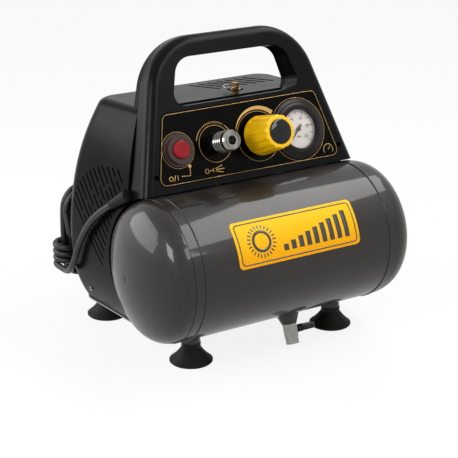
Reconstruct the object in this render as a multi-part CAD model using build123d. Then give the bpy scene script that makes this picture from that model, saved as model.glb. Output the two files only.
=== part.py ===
"""Portable oil-free air compressor with a six litre tank, in millimetres, +Z up.

The origin lies on the floor under the middle of the machine. X runs along the tank,
-Y is the front with the controls, and the motor stands behind the tank under a hood.
"""
import math
import os

from build123d import *

# Tank
tank_radius = 80.0
tank_wall = 2.0
shell_half_length = 121.4
head_skirt = 11.0
head_step = 0.6
dome_depth = 40.5
dome_knuckle = 27.0
seam_gap = 1.8
seam_height = 1.0
joggle_length = 8.0
fit_gap = 0.05
tank_floor_gap = 33.2

# Label on the tank, angles above the horizontal
label_half_length = 79.5
label_low_angle = 11.0
label_high_angle = 48.0
label_thickness = 0.35
label_corner = 5.0

# Feet and base plate
foot_height = 23.2
foot_radius = 24.5
foot_neck_radius = 11.0
foot_neck_height = 6.0
foot_rim = 2.4
foot_cup_depth = 3.0
foot_cup_radius = 17.5
foot_edge = 1.0
foot_waist_radius = 17.0
foot_waist_height = 9.2
front_foot_x = 96.6
front_foot_y = -4.0
rear_foot_x = 112.0
rear_foot_y = 165.0
rear_boss_height = 4.4
peg_radius = 10.5
plate_thickness = 2.0
plate_lip = 1.0
rim_height = 26.0
saddle_y = 40.0
saddle_width = 24.0
saddle_thickness = 3.0
saddle_x = 70.0

# Control panel plane, measured from the tank axis
panel_lean = 20.0
panel_y = 16.67
panel_z = 83.1
draw_angle = 14.0

# Front shell and handle outline in the panel plane
outline_low_half = 144.0
outline_low_v = -14.0
outline_top_half = 96.0
outline_top_v = 164.8
outline_corner = 67.0
window_low_half = 86.0
window_low_v = 88.0
window_top_half = 70.5
window_top_v = 141.0
window_low_corner = 13.0
window_top_corner = 22.0
shell_wall = 3.4
front_depth = 35.0
front_depth_lean = 6.4
band_depth = 14.5
band_depth_lean = 2.7
front_round = 11.0
part_gap = 0.3
tank_gap = 1.5

# Fascia plate
fascia_low_half = 121.5
fascia_low_v = 4.0
fascia_top_half = 102.0
fascia_top_v = 83.5
fascia_corner = 9.0
fascia_thickness = 1.4
fascia_recess = 1.0

# Hood sections: height above the floor, half width, back measured from the tank axis
plate_low = foot_height + rear_boss_height
hood_bottom = plate_low + plate_thickness
hood_sections = (
    (hood_bottom, 139.0, 182.0),
    (72.8, 150.0, 195.0),
    (129.8, 150.5, 197.0),
    (195.8, 140.4, 194.0),
    (252.8, 123.9, 180.5),
    (295.8, 108.5, 164.0),
)
hood_front_y = 30.0
hood_front_narrow = 10.0
hood_corner = 26.0
hood_wall = 3.0
hood_top_round = 12.0
roof_front_z = 161.5
roof_slope = 3.6
roof_front_y = 80.0

# Hood vents
side_slit_count = 13
side_slit_width = 2.4
side_slit_pitch = 8.4
side_slit_slope = 38.0
side_slit_low = -76.0
side_slit_front = 64.0
side_slit_creep = 3.3
side_slit_back = 166.0
side_slit_bow = 0.55
side_slit_widest = 3.2
side_slit_rib = 5.0
side_slit_reach = 40.0
roof_slit_count = 7
roof_slit_length = 46.0
roof_slit_width = 4.2
roof_slit_pitch = 12.5
roof_slit_x = 46.0
roof_slit_y = 134.0
roof_slit_slant = 22.0
roof_slit_depth = 30.0

# Panel stations, u and v in the panel plane
control_v = 41.5
button_u = -90.0
coupler_u = -42.0
regulator_u = 15.5
gauge_u = 69.8
panel_screw_u = 122.0
panel_screw_v = 16.0
panel_screw_sink = 4.6
screw_head_radius = 2.6
screw_length = 12.0
screw_post_radius = 5.5
screw_head_height = 1.6
screw_radius = 1.5
side_screw_y = 142.0
side_screw_height = 18.0
side_screw_sink = 0.6

# Switch
button_radius = 10.0
button_height = 11.0
button_travel = 4.0
button_stem_radius = 4.0
guard_radius = 15.4
guard_flange_radius = 18.6
guard_height = 7.5
slide_gap = 0.3
switch_width = 32.0
switch_depth = 38.0
switch_setback = 14.0

# Quick coupler
coupler_hex = 11.0
coupler_hex_height = 9.0
coupler_shank = 8.0
coupler_barrel = 9.0
sleeve_radius = 12.0
sleeve_length = 17.0
sleeve_travel = 4.0
nose_radius = 11.6
nose_length = 6.0
nose_chamfer = 1.4
nose_groove_radius = 9.2
nose_lip_radius = 7.0
nose_groove_depth = 1.0
outlet_radius = 5.0
outlet_depth = 22.0
run_gap = 0.05

# Regulator
regulator_radius = 19.0
regulator_neck = 13.0
stem_radius = 10.0
stem_height = 30.0
nut_radius = 18.5
nut_height = 5.0
knob_base_radius = 22.5
knob_front_radius = 18.8
knob_start = 6.0
knob_length = 40.0
knob_flutes = 14
knob_flute_radius = 3.2
cap_radius = 14.0
cap_height = 2.6

# Gauge
gauge_radius = 25.0
gauge_depth = 24.0
bezel_radius = 34.5
bezel_height = 5.5
dial_radius = 22.6
dial_thickness = 0.8
needle_length = 18.0
needle_thickness = 0.6
needle_rise = 1.2
hub_radius = 2.6
pivot_radius = 0.8
lens_thickness = 1.2
lens_rise = 3.2

# Air block behind the panel
manifold_setback = 46.0
manifold_half = 9.0
riser_radius = 7.0
riser_u = -20.0

# Safety valve
relief_x = 28.0
relief_y = 98.0
relief_radius = 6.5
relief_hole = 9.5
relief_stem_radius = 2.4
relief_head_height = 7.0
relief_head_radius = 4.0
relief_travel = 3.0
ring_radius = 8.0
ring_wire = 0.8
ring_hole = 1.6
ring_shift = 0.5

# Drain cock
drain_x = 18.0
drain_tilt = 20.0
drain_boss_radius = 13.0
drain_neck_radius = 8.5
drain_boss_height = 11.0
drain_body_radius = 8.0
drain_body_length = 15.0
drain_nozzle_radius = 7.6
drain_nozzle_length = 8.0
drain_bore = 2.5
drain_ball_radius = 5.0
drain_stem_radius = 2.5
drain_stem_length = 12.0
lever_length = 18.0
lever_width = 17.0
lever_thickness = 6.0

# Motor and pump, axis measured from the tank axis and the floor
motor_y = 134.0
motor_z = 88.8
stator_radius = 45.0
stator_start = -45.0
stator_length = 52.0
air_gap = 0.5
rotor_radius = 26.0
shaft_radius = 6.0
shaft_start = -70.0
shaft_end = 131.0
bearing_radius = 16.0
bearing_width = 10.0
shield_width = 12.0
crank_x = 75.0
crank_throw = 8.0
eccentric_radius = 15.0
eccentric_width = 16.0
big_end_radius = 21.5
case_inner_radius = 32.0
case_wall = 6.0
case_length = 54.0
weight_radius = 27.0
weight_width = 8.0
rod_length = 62.0
rod_width = 12.0
small_end_radius = 10.0
small_end_width = 14.0
wrist_radius = 5.0
bore_radius = 30.0
piston_gap = 0.06
piston_wall = 4.0
crown_thickness = 5.0
piston_skirt = 8.0
cylinder_wall = 5.0
fin_count = 5
fin_reach = 9.0
fin_thickness = 2.5
valve_plate_thickness = 4.0
head_half = 36.0
head_height = 24.0
head_bolt_radius = 3.0
head_bolt_inset = 7.0
fan_x = 115.0
fan_radius = 44.0
fan_width = 14.0
fan_blades = 9
damper_radius = 9.0
damper_height = 14.0
damper_x = 32.0
damper_y = 26.0
capacitor_radius = 17.0
capacitor_length = 66.0
tube_radius = 4.0
check_inset = 21.4
check_angle = 56.0
check_radius = 9.0
check_length = 30.0
delivery_rise = 25.0
delivery_stub = 11.0
filter_radius = 13.0
filter_length = 22.0

# Cord
cord_diameter = 7.5
cord_pitch = 8.2
gland_length = 32.0
gland_root_radius = 7.0
gland_tip_radius = 5.0
hank_x = -116.5
hank_y = 213.5
hank_top = -69.0
hank_bottom = -132.0
hank_outer = 25.0
wrap_count = 4
wrap_low = -137.0
wrap_turn_up = 11.0
shift_run = 22.0
peg_hook_radius = 6.4
peg_lip_radius = 10.5
peg_lip = 4.0
peg_reach = 33.5
plug_radius = 18.0
plug_thickness = 22.0
plug_sleeve_length = 13.0
plug_pin_radius = 2.4
plug_pin_length = 19.0
plug_pin_spacing = 19.0
cord_route = (
    (-150.3, 74.0, -21.5),
    (-155.0, 95.0, -35.0),
    (-157.2, 121.0, -58.0),
    (-158.0, 144.0, -88.0),
    (-157.8, 158.0, -114.0),
    (-157.0, 171.5, -130.0),
    (-153.8, 188.5, -137.0),
)

# Values that follow from the driving dimensions
axis_z = tank_radius + tank_floor_gap
cord_z = axis_z + tank_radius
check_x = shell_half_length - check_inset
hood_back_mid = hood_sections[2][2]
rear_reach = hood_back_mid + peg_reach
front_reach = tank_radius + seam_height
axis_y = (front_reach - rear_reach) / 2
origin_shift = Pos(0, axis_y, axis_z)
lean = math.radians(panel_lean)
panel_normal = (0, -math.cos(lean), math.sin(lean))
panel = Plane(origin=(0, axis_y + panel_y, axis_z + panel_z), x_dir=(1, 0, 0), z_dir=panel_normal)
draw_direction = (0, math.cos(math.radians(draw_angle)), -math.sin(math.radians(draw_angle)))
far = 800.0
nodes = {}


def at_axis(x, y, z):
    """Place measured from the tank axis."""
    return Pos(x, axis_y + y, axis_z + z)


def along_x(radius, start, length, y, z):
    """Cylinder along X, with y and z measured from the tank axis and the floor."""
    place = Pos(start, axis_y + y, z) * Rot(0, 90, 0)
    return place * Cylinder(radius, length, align=(Align.CENTER, Align.CENTER, Align.MIN))


def upright(radius, height):
    """Cylinder that stands on the local XY plane."""
    return Cylinder(radius, height, align=(Align.CENTER, Align.CENTER, Align.MIN))


def on_panel(u, v=control_v, w=0.0):
    """Place on the control panel, w out of its face."""
    return panel.location * Pos(u, v, w)


def behind(depth, less_lean):
    """Half space behind a plane that lies under the panel face and leans less."""
    angle = math.radians(panel_lean - less_lean)
    normal = Vector(0, -math.cos(angle), math.sin(angle))
    start = panel.origin - Vector(*panel_normal) * depth
    cut = Plane(origin=start, x_dir=(1, 0, 0), z_dir=normal)
    return cut.location * Box(far, far, far, align=(Align.CENTER, Align.CENTER, Align.MAX))


def trapezoid(low_half, low_v, top_half, top_v):
    """Symmetric four-sided face in the panel plane's own coordinates."""
    corners = ((-low_half, low_v), (low_half, low_v), (top_half, top_v), (-top_half, top_v))
    return make_face(Polyline(*corners, close=True))


def round_corners(face, low_radius, top_radius):
    """Round the two low and the two high corners of a trapezoid."""
    ordered = face.vertices().sort_by(Axis.Y)
    if low_radius > 0:
        face = fillet(ordered[:2], low_radius)
        ordered = face.vertices().sort_by(Axis.Y)
    return fillet(ordered[-2:], top_radius)


def add(name, shape):
    """Keep a finished piece under its node name."""
    nodes[name] = shape


def tank():
    inner = tank_radius - tank_wall
    tube = Cylinder(tank_radius, 2 * shell_half_length) - Cylinder(inner, 2 * shell_half_length)
    body = origin_shift * Rot(0, 90, 0) * tube
    add("tank_shell", body - riser_plane().location * riser_hole() - check_hole() - drain_hole())
    add("drain_boss", drain_boss() - drain_hole())
    start = shell_half_length + seam_gap
    crease = start + head_skirt
    outer = tank_radius - head_step
    tail = inner - fit_gap
    tail_end = shell_half_length - joggle_length
    profile = [
        Polyline((crease, outer - tank_wall), (crease, tail - tank_wall), (tail_end, tail - tank_wall),
                 (tail_end, tail), (shell_half_length, tail), (shell_half_length, tank_radius)),
        ThreePointArc((shell_half_length, tank_radius), (start - seam_gap / 2, tank_radius + seam_height),
                      (start, tank_radius)),
        Polyline((start, tank_radius), (crease, tank_radius), (crease, outer)),
        *dome_arcs(crease, outer, 0),
        Line((crease + dome_depth, 0), (crease + dome_depth - tank_wall, 0)),
        *dome_arcs(crease, outer, tank_wall),
    ]
    head = revolve(make_face(profile), Axis.X)
    add("tank_head_right", origin_shift * head)
    add("tank_head_left", origin_shift * Rot(0, 0, 180) * head)


def dome_arcs(crease, radius, inset):
    """Knuckle and crown of the tank's dished head, in the plane of the tank axis."""
    flat = radius - dome_knuckle
    crown = (flat ** 2 + dome_depth ** 2 - dome_knuckle ** 2) / (2 * (dome_depth - dome_knuckle))
    centre = crease + dome_depth - crown
    meet = math.atan2(flat, crease - centre)
    knuckle = dome_knuckle - inset

    def on_knuckle(angle):
        return (crease + knuckle * math.cos(angle), flat + knuckle * math.sin(angle))

    def on_crown(angle):
        return (centre + (crown - inset) * math.cos(angle), (crown - inset) * math.sin(angle))

    half = (meet + math.pi / 2) / 2
    return [
        ThreePointArc(on_knuckle(math.pi / 2), on_knuckle(half), on_knuckle(meet)),
        ThreePointArc(on_crown(meet), on_crown(meet / 2), on_crown(0)),
    ]


def sector(inner, outer, low_angle, high_angle, half_length):
    """Piece of a tube about the tank axis, angles above the horizontal at the front."""
    band = Rot(0, 90, 0) * (Cylinder(outer, 2 * half_length) - Cylinder(inner, 2 * half_length))
    low = math.radians(low_angle)
    high = math.radians(high_angle)
    reach = 2 * outer
    corners = (
        (0, 0),
        (-reach * math.cos(low), reach * math.sin(low)),
        (-reach * math.cos(high), reach * math.sin(high)),
    )
    wedge = make_face(Polyline(*corners, close=True))
    wedge = Plane.YZ * wedge
    return origin_shift * (band & extrude(wedge, half_length, both=True))


def label():
    inner = tank_radius + fit_gap
    outer = inner + label_thickness
    film = sector(inner, outer, label_low_angle, label_high_angle, label_half_length)
    corners = [edge for edge in film.edges() if edge.length < 2 * label_thickness]
    add("tank_label", fillet(corners, label_corner))


def tank_body(extra):
    """The tank cylinder grown by a clearance, used to cut what sits on it."""
    return origin_shift * Rot(0, 90, 0) * Cylinder(tank_radius + extra, far)


def rubber_foot():
    """Cup on a neck, hollow below, with a flat ring that stands on the floor."""
    neck = (foot_neck_radius, foot_height - foot_neck_height)
    profile = make_face([
        Polyline(
            (0, foot_cup_depth), (foot_cup_radius - foot_cup_depth, foot_cup_depth), (foot_cup_radius, 0),
            (foot_radius - foot_edge, 0), (foot_radius, foot_edge), (foot_radius, foot_rim),
        ),
        ThreePointArc((foot_radius, foot_rim), (foot_waist_radius, foot_waist_height), neck),
        Polyline(neck, (foot_neck_radius, foot_height), (0, foot_height), (0, foot_cup_depth)),
    ])
    return revolve(Plane.XZ * profile, Axis.Z)


def feet_and_base():
    foot = rubber_foot()
    feet = []
    for sign in (-1, 1):
        feet.append(Pos(sign * front_foot_x, axis_y + front_foot_y, 0) * foot)
        feet.append(Pos(sign * rear_foot_x, axis_y + rear_foot_y, 0) * foot)
    add("rubber_feet", Compound(children=feet))
    pegs = []
    for sign in (-1, 1):
        place = Pos(sign * front_foot_x, axis_y + front_foot_y, foot_height)
        pegs.append(place * upright(peg_radius, tank_floor_gap) - tank_body(0))
    add("foot_pegs", Compound(children=pegs))
    low, half_width, back = hood_sections[0]
    plate = extrude(hood_section(plate_low, half_width + plate_lip, back + plate_lip, 0), plate_thickness)
    for sign in (-1, 1):
        plate += Pos(sign * rear_foot_x, axis_y + rear_foot_y, foot_height) * upright(
            foot_neck_radius, rear_boss_height)
    near = hood_wall + part_gap
    rim = hood_section(plate_low, half_width, back, near)
    rim = rim - hood_section(plate_low, half_width, back, near + plate_thickness)
    front = Box(far, far, far, align=(Align.CENTER, Align.MAX, Align.CENTER))
    front = Pos(0, axis_y + saddle_y + saddle_width, 0) * front
    plate = plate + (extrude(rim, rim_height) - front)
    saddle_height = axis_z - plate_low
    saddle = Box(saddle_thickness, saddle_width, saddle_height, align=(Align.CENTER, Align.MIN, Align.MIN))
    for sign in (-1, 1):
        plate += Pos(sign * saddle_x, axis_y + saddle_y, plate_low) * saddle - tank_body(0)
    for place in side_screw_places():
        plate = plate - place * Pos(0, 0, -screw_length) * upright(screw_radius + slide_gap, 2 * screw_length)
    add("base_plate", keep_largest(plate))


def keep_largest(shape):
    """The one large solid of a cut that also leaves offcuts."""
    return max(shape.solids(), key=lambda solid: solid.volume)


def shell_outline(inset, drop=0.0):
    """Outline of the handle and housing, its straight sides run down by a drop."""
    slope = (outline_low_half - outline_top_half) / (outline_top_v - outline_low_v)
    face = trapezoid(outline_low_half + slope * drop, outline_low_v - drop, outline_top_half, outline_top_v)
    face = round_corners(face, 0, outline_corner)
    return offset(face, -inset) if inset else face


def window_outline(grow):
    face = trapezoid(window_low_half, window_low_v, window_top_half, window_top_v)
    face = round_corners(face, window_low_corner, window_top_corner)
    return offset(face, grow) if grow else face


def drawn(face, start):
    """Extrude a panel face backwards along the mould's draw, from a depth under the panel face."""
    reach = 2 * (front_depth + band_depth)
    return extrude(panel.offset(-start) * face, reach, dir=draw_direction)


def handle_block():
    """Outer form of both handle halves, with its front edges rounded."""
    block = drawn(shell_outline(0), 0)
    front = block.faces().sort_by(Axis(panel.origin, panel.z_dir))[-1]
    sides = front.edges().sort_by(Axis.Z)[1:]
    block = fillet(sides, front_round)
    window = extrude(panel.offset(front_depth) * window_outline(0), 4 * front_depth, dir=draw_direction)
    slide = Vector(*draw_direction) * (front_depth / math.cos(math.radians(panel_lean - draw_angle)))
    lift = panel.z_dir * front_depth + slide
    return block - Pos(-lift.X, -lift.Y, -lift.Z) * window


def handle_hollow(wall):
    """Room inside the handle halves and the control housing."""
    face = shell_outline(wall, front_depth) - window_outline(wall)
    return drawn(face, wall)


def panel_holes():
    """Holes for the controls through the fascia and the shell's face."""
    cuts = []
    for u, radius in (
        (button_u, guard_radius + slide_gap),
        (coupler_u, coupler_shank + slide_gap),
        (regulator_u, regulator_neck + slide_gap),
        (gauge_u, gauge_radius + slide_gap),
    ):
        cuts.append(on_panel(u, control_v, -3 * shell_wall) * upright(radius, 6 * shell_wall))
    return cuts


def screw_places():
    return [on_panel(sign * panel_screw_u, panel_screw_v) for sign in (-1, 1)]


def fascia_face():
    face = trapezoid(fascia_low_half, fascia_low_v, fascia_top_half, fascia_top_v)
    return round_corners(face, fascia_corner, fascia_corner)


def front_shell():
    shell = handle_block() - handle_hollow(shell_wall) - behind(front_depth, front_depth_lean)
    shell = shell - tank_body(tank_gap)
    recess = extrude(panel.offset(-fascia_recess) * offset(fascia_face(), slide_gap), front_depth, dir=panel.z_dir)
    block = handle_block()
    for place in screw_places():
        shell = shell + (place * Pos(0, 0, -screw_length) * upright(screw_post_radius, screw_length) & block)
    shell = shell - recess - gland_axis().location * gland_body(part_gap)
    for cut in panel_holes():
        shell = shell - cut
    for place in screw_places():
        shell = shell - place * Pos(0, 0, -screw_length) * upright(screw_radius + slide_gap, 2 * screw_length)
        shell = shell - place * Pos(0, 0, -panel_screw_sink) * upright(screw_head_radius + slide_gap, screw_length)
    add("front_shell", keep_largest(shell))
    plate = extrude(panel.offset(-fascia_recess) * fascia_face(), fascia_thickness, dir=panel.z_dir)
    for cut in panel_holes():
        plate = plate - cut
    add("control_panel", keep_largest(plate))


def hood_section(height, half_width, back, inset):
    """Level outline of the hood, round at the back; its lowest one narrows towards the tank."""
    half = half_width - inset
    narrow = hood_front_narrow if height < hood_bottom + part_gap else 0
    rear = back - inset
    outline = Polyline(
        (-half + narrow, hood_front_y), (half - narrow, hood_front_y), (half, rear), (-half, rear), close=True)
    face = make_face(outline)
    face = fillet(face.vertices().group_by(Axis.Y)[-1], hood_corner - inset)
    return Pos(0, axis_y, height) * face


def hood_loft(inset):
    """Body of the hood, or its hollow when an inset is given."""
    sections = [hood_section(*row, inset) for row in hood_sections]
    body = loft(sections)
    roof = Plane(
        origin=(0, axis_y + roof_front_y, axis_z + roof_front_z - inset),
        z_dir=(0, math.sin(math.radians(roof_slope)), math.cos(math.radians(roof_slope))),
    )
    body = body - roof.location * Box(far, far, far, align=(Align.CENTER, Align.CENTER, Align.MIN))
    if inset:
        return body
    top = body.faces().sort_by(Axis.Z)[-1]
    back_edges = [edge for edge in top.edges() if edge.center().Y > axis_y + hood_front_y + hood_corner]
    return fillet(back_edges, hood_top_round)


def slit(length, width, depth):
    """Rounded slot cutter, long in X, cutting along Z."""
    return extrude(SlotOverall(length, width), depth, both=True)


def side_slits():
    """Places and lengths of the slits in the hood's sides, in rows that climb backwards."""
    slope = math.radians(side_slit_slope)
    spots = []
    for row in range(side_slit_count):
        across = side_slit_low + row * side_slit_pitch
        front = side_slit_front + row * side_slit_creep
        back = side_slit_back - side_slit_bow * (row - side_slit_widest) ** 2
        pieces = max(1, round((back - front) / side_slit_reach)) + row % 2
        step = (back - front + side_slit_rib) / pieces
        for index in range(pieces):
            along = front + (index + 0.5) * step - side_slit_rib / 2
            y = along * math.cos(slope) - across * math.sin(slope)
            z = along * math.sin(slope) + across * math.cos(slope)
            turn = Rot(0, 90, 0) * Rot(0, 0, 90 + side_slit_slope)
            spots.append((at_axis(0, y, z) * turn, step - side_slit_rib))
    return spots


def vent_cuts():
    cuts = [place * slit(length, side_slit_width, far / 2) for place, length in side_slits()]
    for column in range(roof_slit_count):
        x = roof_slit_x + (column - (roof_slit_count - 1) / 2) * roof_slit_pitch
        place = at_axis(x, roof_slit_y, roof_front_z) * Rot(0, 0, 90 + roof_slit_slant)
        cuts.append(place * slit(roof_slit_length, roof_slit_width, roof_slit_depth))
    return cuts


def gland_axis():
    """Place of the strain relief's root, its Z along the cord's first run."""
    first = Vector(*cord_route[0])
    second = Vector(*cord_route[1])
    along = (second - first).normalized()
    root = first - along * gland_length
    return Plane(origin=(root.X, axis_y + root.Y, cord_z + root.Z), z_dir=along)


def rear_cover():
    """Hood with its vents, and the rear half of the handle that is clipped round its front."""
    hood = hood_loft(0) - hood_loft(hood_wall)
    hood = hood & behind(front_depth + part_gap, front_depth_lean)
    for cut in vent_cuts():
        hood = hood - cut
    for place in side_screw_places():
        hood = hood - place * Pos(0, 0, -screw_length) * upright(screw_radius + slide_gap, far / 4)
        hood = hood - place * upright(screw_head_radius + slide_gap, far / 4)
    band_lean = front_depth_lean + band_depth_lean
    back_depth = front_depth + band_depth
    hollow = handle_hollow(shell_wall) - behind(back_depth - shell_wall, band_lean)
    band = handle_block() - hollow - hood_loft(-part_gap)
    band = band & behind(front_depth + part_gap, front_depth_lean)
    band = band - behind(back_depth, band_lean)
    hole = at_axis(relief_x, relief_y, roof_front_z - front_depth) * upright(relief_hole, 2 * front_depth)
    pieces = []
    for shape in (hood, band):
        shape = shape - hole - tank_body(tank_gap) - gland_axis().location * gland_body(part_gap)
        pieces.append(keep_largest(shape))
    add("rear_cover", Compound(children=pieces))


def riser_plane():
    """Plane on the tank axis whose Z points at the air block."""
    centre = manifold_centre()
    return Plane(origin=(riser_u, axis_y, axis_z), z_dir=(0, centre.Y - axis_y, centre.Z - axis_z))


def riser_hole():
    return upright(riser_radius - 2, tank_radius + 5)


def check_hole():
    return check_plane().location * Pos(0, 0, -2 * tank_wall) * upright(check_radius - 4, 4 * tank_wall)


def drain_plane():
    tilt = math.radians(drain_tilt)
    out = Vector(0, -math.sin(tilt), -math.cos(tilt))
    start = Vector(drain_x, axis_y, axis_z) + out * tank_radius
    return Plane(origin=start, x_dir=(1, 0, 0), z_dir=out)


def drain_hole():
    return drain_plane().location * Pos(0, 0, -2 * tank_wall) * upright(drain_bore, far)


def drain_boss():
    """Flared socket welded under the tank."""
    place = drain_plane().location
    boss = Pos(0, 0, -3) * upright(drain_boss_radius, 3)
    boss = boss + Cone(
        drain_boss_radius, drain_neck_radius, drain_boss_height, align=(Align.CENTER, Align.CENTER, Align.MIN))
    return keep_largest(place * boss - tank_body(0))


def check_plane():
    angle = math.radians(check_angle)
    out = Vector(0, math.cos(angle), math.sin(angle))
    start = Vector(check_x, axis_y, axis_z) + out * tank_radius
    return Plane(origin=start, x_dir=(1, 0, 0), z_dir=out)


def switch():
    face = fascia_thickness - fascia_recess
    place = on_panel(button_u)
    room = button_radius + slide_gap
    guard = Pos(0, 0, -switch_setback) * upright(guard_radius, switch_setback + guard_height)
    guard = guard + Pos(0, 0, face) * upright(guard_flange_radius, 1.6)
    guard = guard - Pos(0, 0, -switch_setback) * upright(room, 4 * switch_setback)
    add("button_guard", place * guard)
    low = button_travel + 2 - switch_setback
    cap = Pos(0, 0, low) * upright(button_radius, button_height - low)
    cap = fillet(cap.edges().sort_by(Axis.Z)[-1], 1.6)
    stem = Pos(0, 0, low - 2 * button_travel) * upright(button_stem_radius, 2 * button_travel)
    add("switch_button", place * (cap + stem))
    spring = Pos(0, 0, -switch_setback) * upright(button_stem_radius + 2.6, low + switch_setback)
    spring = spring - Pos(0, 0, -switch_setback) * upright(button_stem_radius + 0.6, switch_setback)
    add("button_spring", place * spring)
    top_down = (Align.CENTER, Align.CENTER, Align.MAX)
    box = Pos(0, 0, -switch_setback) * Box(switch_width, switch_width, switch_depth, align=top_down)
    box = fillet(box.edges().filter_by(Axis.Z), 3)
    hole = Pos(0, 0, -switch_setback - 4 * button_travel) * upright(button_stem_radius + slide_gap, far)
    add("pressure_switch", place * (box - hole))


def hexagon(across, height):
    """Hexagonal prism across its flats, standing on the local XY plane."""
    return extrude(RegularPolygon(across, 6, major_radius=False), height)


def coupler():
    face = fascia_thickness - fascia_recess
    place = on_panel(coupler_u)
    nut_top = face + coupler_hex_height
    sleeve_start = nut_top + sleeve_travel + slide_gap
    nose_start = sleeve_start + sleeve_length + slide_gap
    tip = nose_start + nose_length
    back = manifold_half - manifold_setback
    body = Pos(0, 0, back) * upright(coupler_shank, face - back)
    body = body + Pos(0, 0, face) * hexagon(coupler_hex, coupler_hex_height)
    body = body + Pos(0, 0, nut_top) * upright(coupler_barrel, nose_start - nut_top)
    nose = Pos(0, 0, nose_start) * upright(nose_radius, nose_length)
    nose = chamfer(nose.edges().group_by(Axis.Z)[-1], nose_chamfer)
    groove = upright(nose_groove_radius, nose_groove_depth) - upright(nose_lip_radius, nose_groove_depth)
    nose = nose - Pos(0, 0, tip - nose_groove_depth) * groove
    body = body + nose
    body = body - Pos(0, 0, tip - outlet_depth) * upright(outlet_radius, outlet_depth)
    add("coupler_body", place * body)
    sleeve = Pos(0, 0, sleeve_start) * upright(sleeve_radius - 1.2, sleeve_length)
    rib_pitch = sleeve_length / 4
    for rib in range(4):
        collar = Pos(0, 0, sleeve_start + rib * rib_pitch) * upright(sleeve_radius, 0.62 * rib_pitch)
        sleeve = sleeve + chamfer(collar.edges().group_by(Axis.Z)[-1], 0.5)
    sleeve = sleeve - Pos(0, 0, sleeve_start - 1) * upright(coupler_barrel + run_gap, sleeve_length + 2)
    add("coupler_sleeve", place * sleeve)


def knob_solid():
    body = Pos(0, 0, knob_start) * Cone(
        knob_base_radius, knob_front_radius, knob_length, align=(Align.CENTER, Align.CENTER, Align.MIN))
    body = fillet(body.edges().sort_by(Axis.Z)[-1], 2.4)
    tilt = math.degrees(math.atan2(knob_base_radius - knob_front_radius, knob_length))
    for step in range(knob_flutes):
        groove = Pos(knob_base_radius + 0.45 * knob_flute_radius, 0, knob_start + 4) * Rot(0, -tilt, 0)
        groove = groove * upright(knob_flute_radius, 2 * knob_length)
        body = body - Rot(0, 0, step * 360 / knob_flutes) * groove
    return body - upright(stem_radius + run_gap, stem_height + 1)


def regulator():
    face = fascia_thickness - fascia_recess
    place = on_panel(regulator_u)
    back = manifold_half - manifold_setback
    body = Pos(0, 0, back) * upright(regulator_radius, -shell_wall - back)
    body = body + Pos(0, 0, -shell_wall) * upright(regulator_neck, shell_wall + face + nut_height)
    body = body + upright(stem_radius, stem_height)
    body = body - Pos(0, 0, 2 - shell_wall) * upright(stem_radius - 2.5, stem_height + shell_wall)
    add("regulator_body", place * body)
    nut = Pos(0, 0, face) * upright(nut_radius, nut_height)
    nut = chamfer(nut.edges().group_by(Axis.Z)[-1], 1.5)
    nut = nut - upright(regulator_neck + fit_gap, far)
    add("regulator_nut", place * nut)
    add("regulator_knob", place * knob_solid())
    cap = Pos(0, 0, knob_start + knob_length) * upright(cap_radius, cap_height)
    cap = fillet(cap.edges().sort_by(Axis.Z)[-1], 0.8 * cap_height)
    add("knob_cap", place * cap)


def gauge():
    face = fascia_thickness - fascia_recess
    place = on_panel(gauge_u)
    case_front = face - 1.0
    back = manifold_half - manifold_setback
    case = Pos(0, 0, case_front - gauge_depth) * upright(gauge_radius, gauge_depth)
    case = case + Pos(0, 0, back) * upright(coupler_shank, case_front - gauge_depth - back)
    case = case - Pos(0, 0, case_front - 3) * upright(pivot_radius + run_gap, 6)
    add("gauge_case", place * case)
    dial = Pos(0, 0, case_front) * upright(dial_radius, dial_thickness)
    dial_top = case_front + dial_thickness
    pivot_hole = Cylinder(pivot_radius + run_gap, gauge_depth)
    add("gauge_dial", place * (dial - pivot_hole))
    lens_low = dial_top + lens_rise
    lens_radius = dial_radius + 0.5
    add("gauge_lens", place * Pos(0, 0, lens_low) * upright(lens_radius, lens_thickness))
    top = face + bezel_height
    seat = dial_radius + 0.15
    groove = lens_radius + fit_gap
    lip = dial_radius - 0.2
    lens_top = lens_low + lens_thickness
    profile = make_face(Polyline(
        (seat, face), (bezel_radius, face), (bezel_radius, face + 1.4), (bezel_radius - 3.2, face + 2.6),
        (bezel_radius - 4.2, face + 2.6), (bezel_radius - 4.2, face + 3.4), (bezel_radius - 7.0, top - 1.0),
        (bezel_radius - 8.0, top - 1.0), (bezel_radius - 8.0, top), (lip + 1.0, top), (lip, top - 0.5),
        (lip, lens_top), (groove, lens_top), (groove, lens_low), (seat, lens_low), close=True,
    ))
    add("gauge_bezel", place * revolve(Plane.XZ * profile, Axis.Z))
    low = dial_top + needle_rise
    pointer = make_face(Polyline(
        (-6, -1.3), (needle_length - 1, -0.35), (needle_length, 0), (needle_length - 1, 0.35), (-6, 1.3), close=True,
    ))
    needle = Pos(0, 0, low) * extrude(pointer, needle_thickness)
    needle = needle + Pos(0, 0, low) * upright(hub_radius, needle_thickness + 0.6)
    needle = needle + Pos(0, 0, case_front - 2) * upright(pivot_radius, low - case_front + 2)
    add("gauge_needle", place * Rot(0, 0, 225) * needle)


def manifold_block():
    start = coupler_u - coupler_shank - 4
    end = gauge_u + coupler_shank + 4
    place = on_panel((start + end) / 2, control_v, -manifold_setback)
    return place * Box(end - start, 2 * manifold_half, 2 * manifold_half)


def relief_base():
    """Height of the safety valve's seat above the tank axis."""
    return manifold_centre().Z - axis_z + manifold_half - 2


def manifold_centre():
    return panel.from_local_coords(Vector(regulator_u, control_v, -manifold_setback))


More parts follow.
